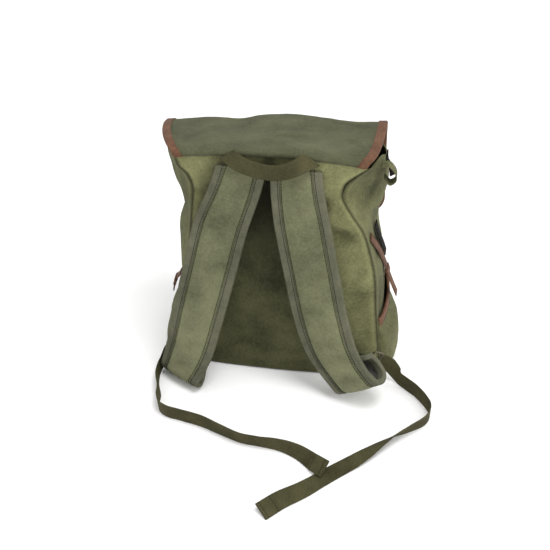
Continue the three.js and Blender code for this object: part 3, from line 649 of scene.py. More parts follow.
def fade_group():
    """Washed-out patches: large clouds and small flecks, plus the given wear and painted crease shade, as a
    mask from 0 to 1.
    """
    inputs = [
        ("Vector", "NodeSocketVector", None),
        ("Cloud", "NodeSocketFloat", 16.0),
        ("Fleck", "NodeSocketFloat", 260.0),
        ("Wear and shade", "NodeSocketFloat", 0.0),
    ]
    group, start, end = new_group("Faded patches", inputs, [("Mask", "NodeSocketFloat")])
    cloud = node(
        group,
        "ShaderNodeTexNoise",
        {
            "Vector": start.outputs["Vector"],
            "Scale": start.outputs["Cloud"],
            "Detail": 5.0,
            "Roughness": 0.6,
        },
    )
    fleck = node(
        group,
        "ShaderNodeTexNoise",
        {
            "Vector": start.outputs["Vector"],
            "Scale": start.outputs["Fleck"],
            "Detail": 3.0,
            "Roughness": 0.7,
        },
    )
    soft = node(group, "ShaderNodeMapRange", {0: cloud.outputs[0], 1: 0.3, 2: 0.7, 3: 0.0, 4: 0.62})
    sharp = node(group, "ShaderNodeMapRange", {0: fleck.outputs[0], 1: 0.3, 2: 0.7, 3: 0.0, 4: 0.38})
    both = maths(group, "ADD", soft.outputs[0], sharp.outputs[0])
    worn = node(
        group, "ShaderNodeMath", {0: both, 1: start.outputs["Wear and shade"]}, operation="ADD", use_clamp=True
    )
    group.links.new(worn.outputs[0], end.inputs["Mask"])
    return group


def grain_group():
    """Leather grain: small cells with creases between them, as a height from 0 to 1."""
    inputs = [("Vector", "NodeSocketVector", None), ("Cells", "NodeSocketFloat", 700.0)]
    group, start, end = new_group("Leather grain", inputs, [("Height", "NodeSocketFloat")])
    cells = node(
        group,
        "ShaderNodeTexVoronoi",
        {"Vector": start.outputs["Vector"], "Scale": start.outputs["Cells"]},
        feature="DISTANCE_TO_EDGE",
    )
    crease = node(group, "ShaderNodeMapRange", {0: cells.outputs[0], 1: 0.0, 2: 0.18, 3: 0.0, 4: 1.0})
    rough = node(
        group, "ShaderNodeTexNoise", {"Vector": start.outputs["Vector"], "Scale": 120.0, "Detail": 4.0}
    )
    height = maths(
        group,
        "ADD",
        maths(group, "MULTIPLY", crease.outputs[0], 0.6),
        maths(group, "MULTIPLY", rough.outputs[0], 0.4),
    )
    group.links.new(height, end.inputs["Height"])
    return group


GROUPS = {"weave": weave_group(), "ribs": rib_group(), "fade": fade_group(), "grain": grain_group()}


def finish_of(
    name,
    dark,
    light,
    surface,
    surface_values,
    bump,
    roughness,
    cloud=16.0,
    fleck=260.0,
    sheen=0.0,
    metallic=0.0,
):
    """Material whose colour fades between two shades and whose relief comes from one of the groups."""
    material = bpy.data.materials.new(name)
    material.use_nodes = True
    tree = material.node_tree
    shader = tree.nodes["Principled BSDF"]
    uv = node(tree, "ShaderNodeUVMap", uv_map="UVMap").outputs[0]
    place = node(tree, "ShaderNodeTexCoord").outputs["Object"]
    # The wear attribute lightens the colour as wear and, where it is low in creases, darkens it as painted
    # shade.
    wear_and_shade = node(tree, "ShaderNodeAttribute", attribute_name="wear_and_shade").outputs["Fac"]
    relief = node(tree, "ShaderNodeGroup", node_tree=GROUPS[surface])
    tree.links.new(uv if surface in ("weave", "ribs") else place, relief.inputs["Vector"])
    for key, value in surface_values.items():
        relief.inputs[key].default_value = value
    fade = node(tree, "ShaderNodeGroup", node_tree=GROUPS["fade"])
    tree.links.new(place, fade.inputs["Vector"])
    fade.inputs["Cloud"].default_value = cloud
    fade.inputs["Fleck"].default_value = fleck
    tree.links.new(wear_and_shade, fade.inputs["Wear and shade"])
    colour = node(
        tree,
        "ShaderNodeMix",
        {0: fade.outputs["Mask"], 6: linear(*dark), 7: linear(*light)},
        data_type="RGBA",
    )
    # The relief also scales the colour: darker in its hollows as painted shade, lighter on its tops as painted
    # highlight.
    painted_relief_shade = node(tree, "ShaderNodeMapRange", {0: relief.outputs["Height"], 1: 0.0, 2: 1.0, 3: 0.8, 4: 1.12})
    # The shade attribute is painted shade: it darkens the colour, and where it is below nought it lightens it
    # as painted light.
    shade = node(tree, "ShaderNodeAttribute", attribute_name="shade").outputs["Fac"]
    painted_shading = maths(tree, "MULTIPLY", painted_relief_shade.outputs[0], maths(tree, "SUBTRACT", 1.0, shade))
    tinted = node(tree, "ShaderNodeVectorMath", {0: colour.outputs[2]}, operation="SCALE")
    tree.links.new(painted_shading, tinted.inputs["Scale"])
    tree.links.new(tinted.outputs[0], shader.inputs["Base Color"])
    rough = node(
        tree,
        "ShaderNodeMapRange",
        {0: fade.outputs["Mask"], 1: 0.0, 2: 1.0, 3: roughness - 0.06, 4: roughness + 0.04},
    )
    tree.links.new(rough.outputs[0], shader.inputs["Roughness"])
    raised = node(
        tree, "ShaderNodeBump", {"Height": relief.outputs["Height"], "Strength": bump, "Distance": 0.0004}
    )
    tree.links.new(raised.outputs[0], shader.inputs["Normal"])
    shader.inputs["Sheen Weight"].default_value = sheen
    shader.inputs["Metallic"].default_value = metallic
    shader.inputs["Specular IOR Level"].default_value = 0.1
    return material


def make_finishes():
    cloth = {"Pitch": 0.0009}
    hide = {"Cells": 800.0}
    return {
        "canvas": finish_of(
            "olive canvas", (66, 67, 44), (122, 122, 86), "weave", cloth, 0.8, 0.93, sheen=0.04
        ),
        # The flap's canvas is a darker copy of the body's canvas, as painted shade.
        "flap": finish_of("flap canvas in painted shade", (60, 62, 44), (98, 99, 75), "weave", cloth, 0.8, 0.93, sheen=0.04),
        "strap": finish_of(
            "strap canvas", (82, 84, 62), (127, 128, 98), "weave", cloth, 0.8, 0.93, sheen=0.04
        ),
        "lining": finish_of(
            "mesh lining", (48, 46, 46), (118, 114, 110), "weave", {"Pitch": 0.0022}, 1.0, 0.9
        ),
        "tape": finish_of(
            "edge tape", (74, 74, 60), (110, 109, 91), "ribs", {"Rib": 0.0013, "Yarn": 0.001}, 0.6, 0.88
        ),
        "webbing": finish_of(
            "webbing", (52, 50, 32), (84, 81, 56), "ribs", {"Rib": 0.0019, "Yarn": 0.0014}, 0.9, 0.85
        ),
        "leather": finish_of(
            "brown leather", (74, 50, 37), (116, 84, 64), "grain", hide, 0.5, 0.6, cloud=40.0
        ),
        # Near-black leather: painted shadow on the hold strap, the thong's own dark colour.
        "dark": finish_of("near-black leather and painted shadow", (12, 9, 8), (30, 23, 20), "grain", hide, 0.5, 0.8, cloud=40.0),
        "thread": finish_of(
            "dark thread", (14, 14, 10), (30, 29, 22), "grain", {"Cells": 1600.0}, 0.2, 0.8
        ),
        "metal": finish_of(
            "aged metal", (78, 72, 60), (130, 122, 104), "grain", {"Cells": 300.0}, 0.15, 0.42, metallic=0.9
        ),
    }


FINISHES = make_finishes()


# Lines that straps and webbing follow

class Way:
    """Smooth line through points, with the frame of the band that follows it at each distance."""

    def __init__(self, points, across_of, square=True):
        self.points = points
        self.across_of = across_of
        self.square = square
        self.shares = np.linspace(0, 1, 401)
        steps = np.linalg.norm(np.diff(self.curve(self.shares), axis=0), axis=1)
        self.distances = np.concatenate([[0], np.cumsum(steps)])
        self.length = self.distances[-1]

    def curve(self, t):
        points = self.points
        ends = np.concatenate([[2 * points[0] - points[1]], points, [2 * points[-1] - points[-2]]])
        p = np.asarray(t, float) * (len(points) - 1)
        i = np.clip(np.floor(p).astype(int), 0, len(points) - 2)
        w = (p - i)[..., None]
        p0, p1, p2, p3 = ends[i], ends[i + 1], ends[i + 2], ends[i + 3]
        d0, d1, d2 = (
            np.sqrt(np.linalg.norm(b - a, axis=-1, keepdims=True)) for a, b in ((p0, p1), (p1, p2), (p2, p3))
        )
        m1 = ((p1 - p0) / d0 - (p2 - p0) / (d0 + d1) + (p2 - p1) / d1) * d1
        m2 = ((p2 - p1) / d1 - (p3 - p1) / (d1 + d2) + (p3 - p2) / d2) * d1
        return p1 + m1 * w + (3 * (p2 - p1) - 2 * m1 - m2) * w**2 + (2 * (p1 - p2) + m1 + m2) * w**3

    def frame(self, s):
        s = np.asarray(s, float)
        near = np.clip(s, 0, self.length)
        t = np.interp(near, self.distances, self.shares)
        tangent = unit(self.curve(np.clip(t + 1e-4, 0, 1)) - self.curve(np.clip(t - 1e-4, 0, 1)))
        across = self.across_of(t * (len(self.points) - 1), tangent)
        if self.square:
            across = unit(across - tangent * np.sum(across * tangent, -1, keepdims=True))
        origin = self.curve(t) + tangent * (s - near)[..., None]
        return origin, across, unit(np.cross(tangent, across))

    def point(self, t, s, n):
        origin, across, normal = self.frame(s)
        return origin + across * np.asarray(t)[..., None] + normal * np.asarray(n)[..., None]


def row_value(rows, name, at):
    """Value of a table's column at a place counted in rows."""
    return np.interp(at, np.arange(len(rows[name])), rows[name])


def bag_places(rows):
    return points_of(rows["across"] * HALF_WIDTH, rows["out"] * BODY_DEPTH, rows["up"] * BODY_HEIGHT)


def webbing_places(rows, lift=0.0):
    return points_of(
        rows["across"] * HALF_WIDTH, rows["out"] * BODY_DEPTH, rows["rise"] * WEBBING_WIDTH + lift
    )


def facing(x, y, z):
    """Way across a band that is the same all along it."""
    return lambda at, tangent: points_of(x + 0 * at, y + 0 * at, z + 0 * at)


# The bag

def section(height):
    half = {
        name: column(BODY_WIDTHS, "height", name, height) * HALF_WIDTH
        for name in BODY_WIDTHS
        if name != "height"
    }
    depth = {name: column(BODY_DEPTHS, "height", name, height) for name in BODY_DEPTHS if name != "height"}
    return half, depth


def seam_rise(x):
    return SEAM_RISE * np.maximum(1 - (x / (HALF_WIDTH * SEAM_SPAN)) ** 2, 0)


def wall_height(v, y):
    share = y / BODY_DEPTH + 0.5
    lifted = np.sin(math.pi * np.clip(share / 0.6, 0, 1)) ** 2
    return v * (BODY_HEIGHT - MOUTH_DROP * share) + v**6 * MOUTH_LIFT * lifted


def bowed(start, middle, end, u):
    return start + (end - start) * u + 4 * u * (1 - u) * (middle - (start + end) / 2)


def wall_surface(name, u, v):
    """Points of one of the four walls: u runs along it, v up it."""
    half, depth = section(v)
    back = (depth["back"] - 0.5) * BODY_DEPTH
    front = (depth["front"] - 0.5) * BODY_DEPTH
    if name == "back_panel":
        x = -half["backLeft"] + (half["backRight"] + half["backLeft"]) * u
        y = back - depth["backCrown"] * BODY_DEPTH * 4 * u * (1 - u)
        return points_of(x, y, wall_height(v, back) + v**3 * seam_rise(x))
    if name == "front_panel":
        x = half["frontRight"] - (half["frontRight"] + half["frontLeft"]) * u
        y = front + depth["frontCrown"] * BODY_DEPTH * 4 * u * (1 - u)
        return points_of(x, y, wall_height(v, front))
    if name == "side_panel_right":
        y = back + (front - back) * u
        x = bowed(half["backRight"], half["sideRight"], half["frontRight"], u)
        return points_of(x, y, wall_height(v, y))
    y = front + (back - front) * u
    x = bowed(-half["frontLeft"], -half["sideLeft"], -half["backLeft"], u)
    return points_of(x, y, wall_height(v, y))


def cloth_shell(name, surface, outward, thickness, lift, material, wear_and_shade, shade):
    """Cloth between a lifted surface and its inner face, with normals turned outward."""
    normals = normals_of(surface)
    if np.sum(normals * outward) < 0:
        normals = -normals
    outer = surface + normals * lift[..., None]
    inner = outer - normals * thickness
    return grid_piece(name, outer, inner, material, wear_and_shade=wear_and_shade, shade=shade), outer


def painted_strap_shadow_and_light(surface):
    """Painted shade of the back panel: painted shadow between the straps, deepest towards the top, and painted
    light outside them, strongest on the right.
    """
    x, up = surface[..., 0], surface[..., 2] / BODY_HEIGHT
    reach = 0.4 * STRAP_WIDTH
    edges = {}
    for side, inward in (("left", 1), ("right", -1)):
        rows = STRAP_LINES[side]
        run = slice(6, None, -1)
        edges[side] = np.interp(up, rows["up"][run], rows["across"][run]) * HALF_WIDTH + inward * reach
    between = smoothstep(x, edges["left"] - 10, edges["left"] + 14)
    between = between * smoothstep(-x, -edges["right"] - 10, -edges["right"] + 14)
    outside = PAINTED_LIGHT_RIGHT * smoothstep(x - edges["right"], 1.4 * reach, 1.4 * reach + 30)
    outside = outside + smoothstep(edges["left"] - x, 2 * reach, 2 * reach + 30)
    return (PAINTED_SHADOW_LOW + PAINTED_SHADOW_HIGH * smoothstep(up, 0.45, 0.85)) * between - PAINTED_LIGHT_OUTSIDE * outside


def make_wall(name, columns, rows, folds, outward, seed):
    across, along = share_grid(rows, columns)
    bottom = (CANVAS + SEW_GAP) / BODY_HEIGHT
    width = BODY_DEPTH if name.startswith("side") else BODY_WIDTH
    margin = 2 * SEW_GAP / width
    surface = wall_surface(name, margin + (1 - 2 * margin) * across, bottom + (1 - bottom) * along)
    u = lengths_along(surface, 1)
    edge = np.minimum(u, u[:, [-1]] - u)
    measured = u - u[:, [columns // 2]] if name == "back_panel" else u
    creases = fold_field(measured, surface[..., 2], folds)
    soft = 1.1 * ruffle(surface, 46, seed) + 0.45 * ruffle(surface, 17, seed + 1) - 0.7
    seam = -1.5 * np.exp(-((edge / 2.2) ** 2)) + 0.5 * np.exp(-(((edge - 6) / 3) ** 2))
    hold = smoothstep(edge, 0, 16) * smoothstep(surface[..., 2], 0, 18)
    lift = seam + hold * (creases + soft)
    # Painted shade along the seams, where the panel's edges tuck in.
    painted_seam_shade = np.exp(-((edge / 2.6) ** 2))
    worn = np.exp(-(((edge - 7) / 4) ** 2))
    # Lighter on raised folds and in a band beside the seams as wear, darker in creases and dips as painted
    # shade.
    wear_and_shade = 0.12 * creases * hold + 0.1 * soft + 0.2 * worn
    # Painted shade: darker in the seams and creases, lighter on raised folds as painted light.
    shade = 0.6 * painted_seam_shade - 0.03 * creases * hold
    if name == "back_panel":
        # The back panel takes deeper painted shade in its seams, painted shadow between the straps and painted
        # light outside them.
        shade = np.maximum(shade, 0.7 * painted_seam_shade) + painted_strap_shadow_and_light(surface) * (1 - painted_seam_shade)
    outward = np.array(outward, float)
    finish = FINISHES["canvas"]
    piece, outer = cloth_shell(name + "_cloth", surface, outward, CANVAS, lift, finish, wear_and_shade, shade)
    dress(piece, "canvas", name)
    declare_cloth(piece, outer)


def make_bottom():
    across, along = share_grid(36, 60)
    half, depth = section(np.zeros(1))
    back = (depth["back"][0] - 0.5) * BODY_DEPTH
    front = (depth["front"][0] - 0.5) * BODY_DEPTH
    left = bowed(-half["backLeft"][0], -half["sideLeft"][0], -half["frontLeft"][0], along)
    right = bowed(half["backRight"][0], half["sideRight"][0], half["frontRight"][0], along)
    surface = points_of(left + (right - left) * across, back + (front - back) * along, 0 * across)
    inner = surface + np.array([0, 0, CANVAS])
    piece = grid_piece("bottom_cloth", surface, inner, FINISHES["canvas"], wear_and_shade=0 * across)
    dress(piece, "canvas", "bottom_panel")
    declare_cloth(piece, surface)


def flap_edges(b):
    share = b / FLAP_LENGTH
    left = -column(FLAP_STATIONS, "along", "left", share) * HALF_WIDTH
    right = column(FLAP_STATIONS, "along", "right", share) * HALF_WIDTH
    past = np.maximum(b - (FLAP_LENGTH - FLAP_CORNER_RADIUS), 0)
    inset = FLAP_CORNER_RADIUS - np.sqrt(np.maximum(FLAP_CORNER_RADIUS**2 - past**2, 0))
    return left, right, inset


def flap_surface(a, b):
    share = b / FLAP_LENGTH
    get = {name: column(FLAP_STATIONS, "along", name, share) for name in FLAP_STATIONS if name != "along"}
    left, right, _ = flap_edges(b)
    u = (a - left) / (right - left)
    lift = get["lift"] + get["tilt"] * (u - 1) + get["wave"] * column(FLAP_CREST, "across", "lift", u)
    z = BODY_HEIGHT + lift * BODY_DEPTH - get["fall"] * FLAP_FALL + get["seam"] * seam_rise(a)
    return points_of(a, (get["depth"] - 0.5) * BODY_DEPTH, z)


def flap_lift(a, b):
    """Creases and softness of the flap over its plain surface, which die out at its edges."""
    left, right, _ = flap_edges(b)
    edge = np.minimum(np.minimum(a - left, right - a), np.minimum(b + 6, FLAP_LENGTH - b))
    hold = smoothstep(edge, FLAP_BINDING_WIDTH, FLAP_BINDING_WIDTH + 18)
    surface = points_of(a, b, 0 * a)
    creases = fold_field(a, b, FLAP_FOLDS)
    soft = 1.0 * ruffle(surface, 42, 11) + 0.4 * ruffle(surface, 15, 12)
    return hold * (creases + soft)


def flap_point(a, b, n):
    step = 0.5
    along_a = flap_surface(a + step, b) - flap_surface(a - step, b)
    along_b = flap_surface(a, b + step) - flap_surface(a, b - step)
    return flap_surface(a, b) + unit(np.cross(along_a, along_b)) * np.asarray(n)[..., None]


def make_flap():
    across, along = share_grid(150, 150)
    b = along * FLAP_LENGTH
    left, right, inset = flap_edges(b)
    a = left + inset + (right - left - 2 * inset) * across
    lift = flap_lift(a, b)
    roll = np.minimum(1, b / 5)
    outer = flap_point(a, b, FLAP_THICKNESS + lift - 1.2 * (1 - roll))
    inner = flap_point(a, b, lift)
    # Lighter on the flap's raised folds as wear, darker in its creases as painted shade; the strip where the
    # flap dips into the seam is darker still, as painted shade.
    flap = grid_piece("flap_cloth", outer, inner, FINISHES["flap"], wear_and_shade=0.14 * lift - 0.25 * (1 - roll))
    return dress(flap, "canvas", "flap"), outer


def flap_outline(steps, turns):
    """Places along the flap's bound edge with the direction that points into the cloth."""
    straight = FLAP_LENGTH - FLAP_CORNER_RADIUS
    b = np.arange(steps) / steps * straight
    left, right, _ = flap_edges(b)
    end_left, end_right, _ = flap_edges(straight)
    rows = [(x, y, 1.0, 0.0) for x, y in zip(left, b)]
    angles = np.linspace(0, math.pi / 2, turns + 1)
    for side, turning in ((-1, angles), (1, angles[::-1])):
        centre = (end_left if side < 0 else end_right) - side * FLAP_CORNER_RADIUS
        for angle in turning:
            inward = (-side * math.cos(angle), -math.sin(angle))
            rows.append(
                (centre - inward[0] * FLAP_CORNER_RADIUS, straight - inward[1] * FLAP_CORNER_RADIUS, *inward)
            )
    rows += [(x, y, -1.0, 0.0) for x, y in zip(right[::-1], b[::-1])]
    return np.array(rows)


def wrapped_profile(width, edge, top, base, wall):
    """Outer and inner lines of a binding folded round an edge, as insets and heights."""
    middle, reach = (top + base) / 2, (top - base) / 2
    loops = []
    for shrink in (0, wall):
        half = reach - shrink
        start = -edge - shrink + min(half, 2.2)
        turn = np.linspace(-math.pi / 2, math.pi / 2, 13)
        round_part = np.stack(
            [start * -1 - min(half, 2.2) * np.cos(turn), middle - half * np.sin(turn)], -1
        )
        flat_top = np.stack([np.linspace(width, -start, 9)[:-1], np.full(8, middle + half)], -1)
        flat_base = np.stack([np.linspace(-start, width, 9)[1:], np.full(8, middle - half)], -1)
        loops.append(np.concatenate([flat_top, round_part, flat_base]))
    return loops


def wrap_edge(name, outline, point, width, wall, upper, lower, material, seed, reach=0.0):
    """Binding folded round an edge, with the small unevenness of a sewn strip."""
    loops = wrapped_profile(
        width, SEW_GAP + wall + reach, upper + SEW_GAP + wall, -lower - SEW_GAP - wall, wall
    )
    grids = []
    for loop in loops:
        inset, n = loop[None, :, 0], loop[None, :, 1]
        a = outline[:, [0]] + outline[:, [2]] * inset
        b = outline[:, [1]] + outline[:, [3]] * inset
        grids.append(point(a, b, n + 0 * a))
    outer, inner = grids
    push = unit(outer - inner)
    uneven = 0.22 * ruffle(outer, 9, seed)[..., None]
    wear_and_shade = 0.5 * ruffle(outer, 14, seed + 1)
    return grid_piece(name, outer + push * uneven, inner, material, wear_and_shade=0.4 * wear_and_shade)


def make_flap_binding():
    middle = FLAP_THICKNESS / 2

    def point(a, b, n):
        b = np.maximum(b, 0)
        return flap_point(a, b, n + middle)

    binding = wrap_edge(
        "flap_leather_binding", flap_outline(90, 12), point, FLAP_BINDING_WIDTH, LEATHER, middle, middle,
        FINISHES["leather"], 21,
    )
    return dress(binding, "leather", "flap_binding")


# Stitching

def stitch_tree():
    """Geometry nodes that lay stitches of a length along lines at a pitch."""
    tree = bpy.data.node_groups.new("Stitches along lines", "GeometryNodeTree")
    sockets = tree.interface
    sockets.new_socket("Lines", in_out="INPUT", socket_type="NodeSocketGeometry")
    for label in ("Pitch", "Length", "Radius"):
        sockets.new_socket(label, in_out="INPUT", socket_type="NodeSocketFloat")
    sockets.new_socket("Thread", in_out="INPUT", socket_type="NodeSocketMaterial")
    sockets.new_socket("Stitches", in_out="OUTPUT", socket_type="NodeSocketGeometry")
    start = tree.nodes.new("NodeGroupInput")
    end = tree.nodes.new("NodeGroupOutput")
    lines = node(tree, "GeometryNodeMeshToCurve", {"Mesh": start.outputs["Lines"]})
    spaced = node(tree, "GeometryNodeResampleCurve", {"Curve": lines.outputs[0]}, mode="LENGTH")
    tree.links.new(start.outputs["Pitch"], spaced.inputs["Length"])
    tangent = node(tree, "GeometryNodeInputTangent")
    turned = node(tree, "FunctionNodeAlignRotationToVector", {"Vector": tangent.outputs[0]}, axis="Z")
    half = node(tree, "ShaderNodeMath", {0: start.outputs["Length"], 1: 0.5}, operation="MULTIPLY")
    size = node(
        tree,
        "ShaderNodeCombineXYZ",
        {0: start.outputs["Radius"], 1: start.outputs["Radius"], 2: half.outputs[0]},
    )
    stitch = node(tree, "GeometryNodeMeshUVSphere", {"Segments": 6, "Rings": 5, "Radius": 1.0})
    smooth = node(tree, "GeometryNodeSetShadeSmooth", {"Geometry": stitch.outputs["Mesh"]})
    placed = node(tree, "GeometryNodeInstanceOnPoints", {
        "Points": spaced.outputs[0],
        "Instance": smooth.outputs[0],
        "Rotation": turned.outputs[0],
        "Scale": size.outputs[0],
    })
    real = node(tree, "GeometryNodeRealizeInstances", {"Geometry": placed.outputs[0]})
    finished = node(
        tree, "GeometryNodeSetMaterial", {"Geometry": real.outputs[0], "Material": start.outputs["Thread"]}
    )
    tree.links.new(finished.outputs[0], end.inputs["Stitches"])
    return tree


STITCHES = stitch_tree()


def sew(name, lines, pitch=3.4, length=3.0, radius=0.42):
    """Rows of stitches along lines of points in millimetres, as one plain mesh."""
    points = np.concatenate(lines) * MM
    edges = []
    first = 0
    for line in lines:
        edges += [(first + k, first + k + 1) for k in range(len(line) - 1)]
        first += len(line)
    mesh = bpy.data.meshes.new(name + "_lines")
    mesh.from_pydata(points.tolist(), edges, [])
    piece = bpy.data.objects.new(name, mesh)
    bpy.context.scene.collection.objects.link(piece)
    modifier = piece.modifiers.new("Stitches", "NODES")
    modifier.node_group = STITCHES
    values = {
        "Pitch": pitch * MM, "Length": length * MM, "Radius": radius * MM, "Thread": FINISHES["thread"]
    }
    for item in STITCHES.interface.items_tree:
        if item.in_out == "INPUT" and item.name in values:
            modifier[item.identifier] = values[item.name]
    bpy.context.view_layer.update()
    evaluated = piece.evaluated_get(bpy.context.evaluated_depsgraph_get())
    sewn = bpy.data.meshes.new_from_object(evaluated)
    piece.modifiers.clear()
    piece.data = sewn
    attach(piece, "root")
    return piece


# Shoulder straps

def strap_way(side):
    rows = STRAP_LINES[side]

    def across(at, tangent):
        turn = np.radians(row_value(rows, "turn", at))
        rise = np.radians(row_value(rows, "rise", at))
        return points_of(np.cos(turn) * np.cos(rise), np.sin(turn) * np.cos(rise), np.sin(rise))

    return Way(bag_places(rows), across, square=False)


def strap_half_width(s, length):
    tip, full = STRAP_TIP_WIDTH / 2, STRAP_WIDTH / 2
    taper = smoothstep(s, length - STRAP_TAPER - tip, length - tip * 0.5)
    half = full + (tip - full) * taper - STRAP_NECK * (1 - smoothstep(s, 0, STRAP_NECK_LENGTH))
    past = np.maximum(s - (length - tip), 0) / tip
    return half * np.sqrt(np.maximum(1 - past**2, 0.01))


def strap_outline(length, rows):
    tip = STRAP_TIP_WIDTH / 2
    s = np.linspace(0, length - 0.5, rows)
    half = strap_half_width(s, length)
    past = np.maximum(s - (length - tip), 0)
    size = np.hypot(half, past)
    one = [np.stack([side * half, s, -side * half / size, -past / size], -1) for side in (-1, 1)]
    return np.concatenate([one[0], one[1][::-1]])


def pad_rise(s, length):
    sewn = smoothstep(s, 8, 34)
    tip = smoothstep(length - s, TAPE_WIDTH + 1, TAPE_WIDTH + 14)
    return sewn * tip * (STRAP_PADDING - STRAP_EDGE / 2)


def strap_surface(way, t, s):
    """Height of the padding over the strap's middle layer, with its creases."""
    half = strap_half_width(s, way.length)
    inner = np.maximum(half - TAPE_WIDTH - SEW_GAP, 4)
    crown = np.clip(1 - (np.abs(t) / inner) ** 3, 0, 1) ** 0.55
    place = points_of(t, s, 0 * t)
    creases = fold_field(t, s, STRAP_FOLDS)
    soft = 0.55 * ruffle(place, 30, 31 + way.seed) + 0.3 * ruffle(place, 11, 32 + way.seed)
    pucker = 0.25 * np.sin(s / 7.5 * 2 * math.pi) * np.exp(-(((np.abs(t) - inner) / 4) ** 2))
    rise = pad_rise(s, way.length)
    bent = np.clip(rise / (STRAP_PADDING - STRAP_EDGE / 2), 0, 1)
    return STRAP_EDGE / 2 + crown * (rise + bent * (creases + soft - 0.5)) + pucker * bent, creases + soft


def make_strap(side, seed):
    way = strap_way(side)
    way.seed = seed
    across, along = share_grid(260, 48)
    s = along * (way.length - 0.5)
    half = strap_half_width(s, way.length)
    t = half * (2 * across - 1)
    top, creases = strap_surface(way, t, s)
    outer = way.point(t, s, top)
    inner = way.point(t, s, np.full_like(t, -STRAP_EDGE / 2))
    # Lighter on raised folds as wear and towards the strap's lower end, darker in its creases as painted
    # shade.
    tone_and_crease_shade = 0.16 * creases + 0.3 * smoothstep(s, 0.35 * way.length, 0.75 * way.length) - 0.1
    pad = grid_piece(f"shoulder_pad_{side}", outer, inner, FINISHES["strap"], wear_and_shade=tone_and_crease_shade)
    dress(pad, "strap_canvas", f"shoulder_strap_{side}")
    under = -STRAP_EDGE / 2 - SEW_GAP
    lining_outer = way.point(t, s, np.full_like(t, under))
    lining_inner = way.point(t, s, under - STRAP_LINING + 0.25 * ruffle(outer, 9, seed + 5))
    lining = grid_piece(
        f"strap_mesh_lining_{side}",
        lining_inner,
        lining_outer,
        FINISHES["lining"],
        wear_and_shade=0.3 * ruffle(outer, 8, seed + 6),
    )
    dress(lining, "strap_lining", f"strap_lining_{side}")
    upper = STRAP_EDGE / 2 + 3 * SEW_GAP
    lower = STRAP_EDGE / 2 + STRAP_LINING + 2.5 * SEW_GAP
    tape = wrap_edge(
        f"strap_tape_{side}", strap_outline(way.length, 260), way.point, TAPE_WIDTH, TAPE, upper, lower,
        FINISHES["tape"], seed + 7, reach=SEW_GAP,
    )
    dress(tape, "tape", f"strap_binding_{side}")
    lines = []
    outline = strap_outline(way.length, 260)
    height = upper + SEW_GAP + TAPE + 0.1
    for inset, n in ((TAPE_STITCH_INSET, height), (PAD_STITCH_INSET, None)):
        a = outline[:, 0] + outline[:, 2] * inset
        b = outline[:, 1] + outline[:, 3] * inset
        level = np.full_like(a, n) if n else strap_surface(way, a, b)[0] + 0.3
        lines.append(way.point(a, b, level))
    under_a = outline[:, 0] + outline[:, 2] * TAPE_STITCH_INSET
    under_b = outline[:, 1] + outline[:, 3] * TAPE_STITCH_INSET
    lines.append(way.point(under_a, under_b, np.full_like(under_a, -lower - SEW_GAP - TAPE - 0.1)))
    sew(f"strap_stitches_{side}", lines, pitch=4.0, length=3.4, radius=0.55)


# Webbing

def tail_way(side):
    rows = TAIL_LINES[side]

    def across(at, tangent):
        lean = np.radians(row_value(rows, "lean", at))[..., None]
        level = unit(points_of(-tangent[..., 1], tangent[..., 0], 0 * tangent[..., 0]))
        return level * np.sin(lean) + np.array([0, 0, 1]) * np.cos(lean)

    return Way(webbing_places(rows, 0.2), across)


def band_faces(way, width_from, width_to, thickness, shift, rows, columns, start=0.0, stop=None):
    """Two facing grids of a band with rounded edges; shift moves it along its normal."""
    across, along = share_grid(rows, columns)
    stop = way.length if stop is None else stop
    s = start + (stop - start) * along
    t = width_from + (width_to - width_from) * across
    from_edge = np.minimum(t - width_from, width_to - t)
    half = thickness / 2 * np.sqrt(
        np.clip(1 - (1 - np.clip(from_edge / (thickness * 0.8), 0, 1)) ** 2, 0.04, 1)
    )
    middle = shift(s) if callable(shift) else shift
    return way.point(t, s, middle + half), way.point(t, s, middle - half)


def webbing_piece(name, way, low, high, thickness, shift, rows, seed, start=0.0, stop=None, nodes=()):
    outer, inner = band_faces(way, low, high, thickness, shift, rows, 20, start, stop)
    wear_and_shade = 0.35 * ruffle(outer, 24, seed)
    piece = grid_piece(name, outer, inner, FINISHES["webbing"], wear_and_shade=wear_and_shade)
    return dress(piece, "webbing", *nodes)


def make_tail(side, seed):
    way = tail_way(side)

    def shift(s):
        normal = way.frame(s)[2][..., 2]
        flat = np.abs(normal)
        return (0.5 - np.where(normal < 0, 1, 0) * flat - 0.5 * (1 - flat)) * WEBBING

    webbing_piece(
        f"webbing_strap_{side}",
        way,
        0,
        WEBBING_WIDTH,
        WEBBING,
        shift,
        420,
        seed,
        nodes=[f"webbing_tail_{side}"],
    )

    def over(s):
        normal = way.frame(s)[2][..., 2]
        up = np.where(normal < 0, -1, 1)
        return shift(s) + up * (WEBBING + 0.1)

    webbing_piece(
        f"webbing_hem_{side}",
        way,
        0.4,
        WEBBING_WIDTH - 0.4,
        WEBBING,
        over,
        30,
        seed + 1,
        way.length - WEBBING_HEM,
        way.length - 0.4,
    )
    t = np.linspace(2, WEBBING_WIDTH - 2, 20)
    lines = []
    for back in (WEBBING_HEM - 3, 4):
        s = np.full_like(t, way.length - back)
        normal = way.frame(s)[2][..., 2]
        up = np.where(normal < 0, -1, 1)
        lines.append(way.point(t, s, over(s) + up * (WEBBING / 2 + 0.1)))
    sew(f"webbing_hem_stitches_{side}", lines)


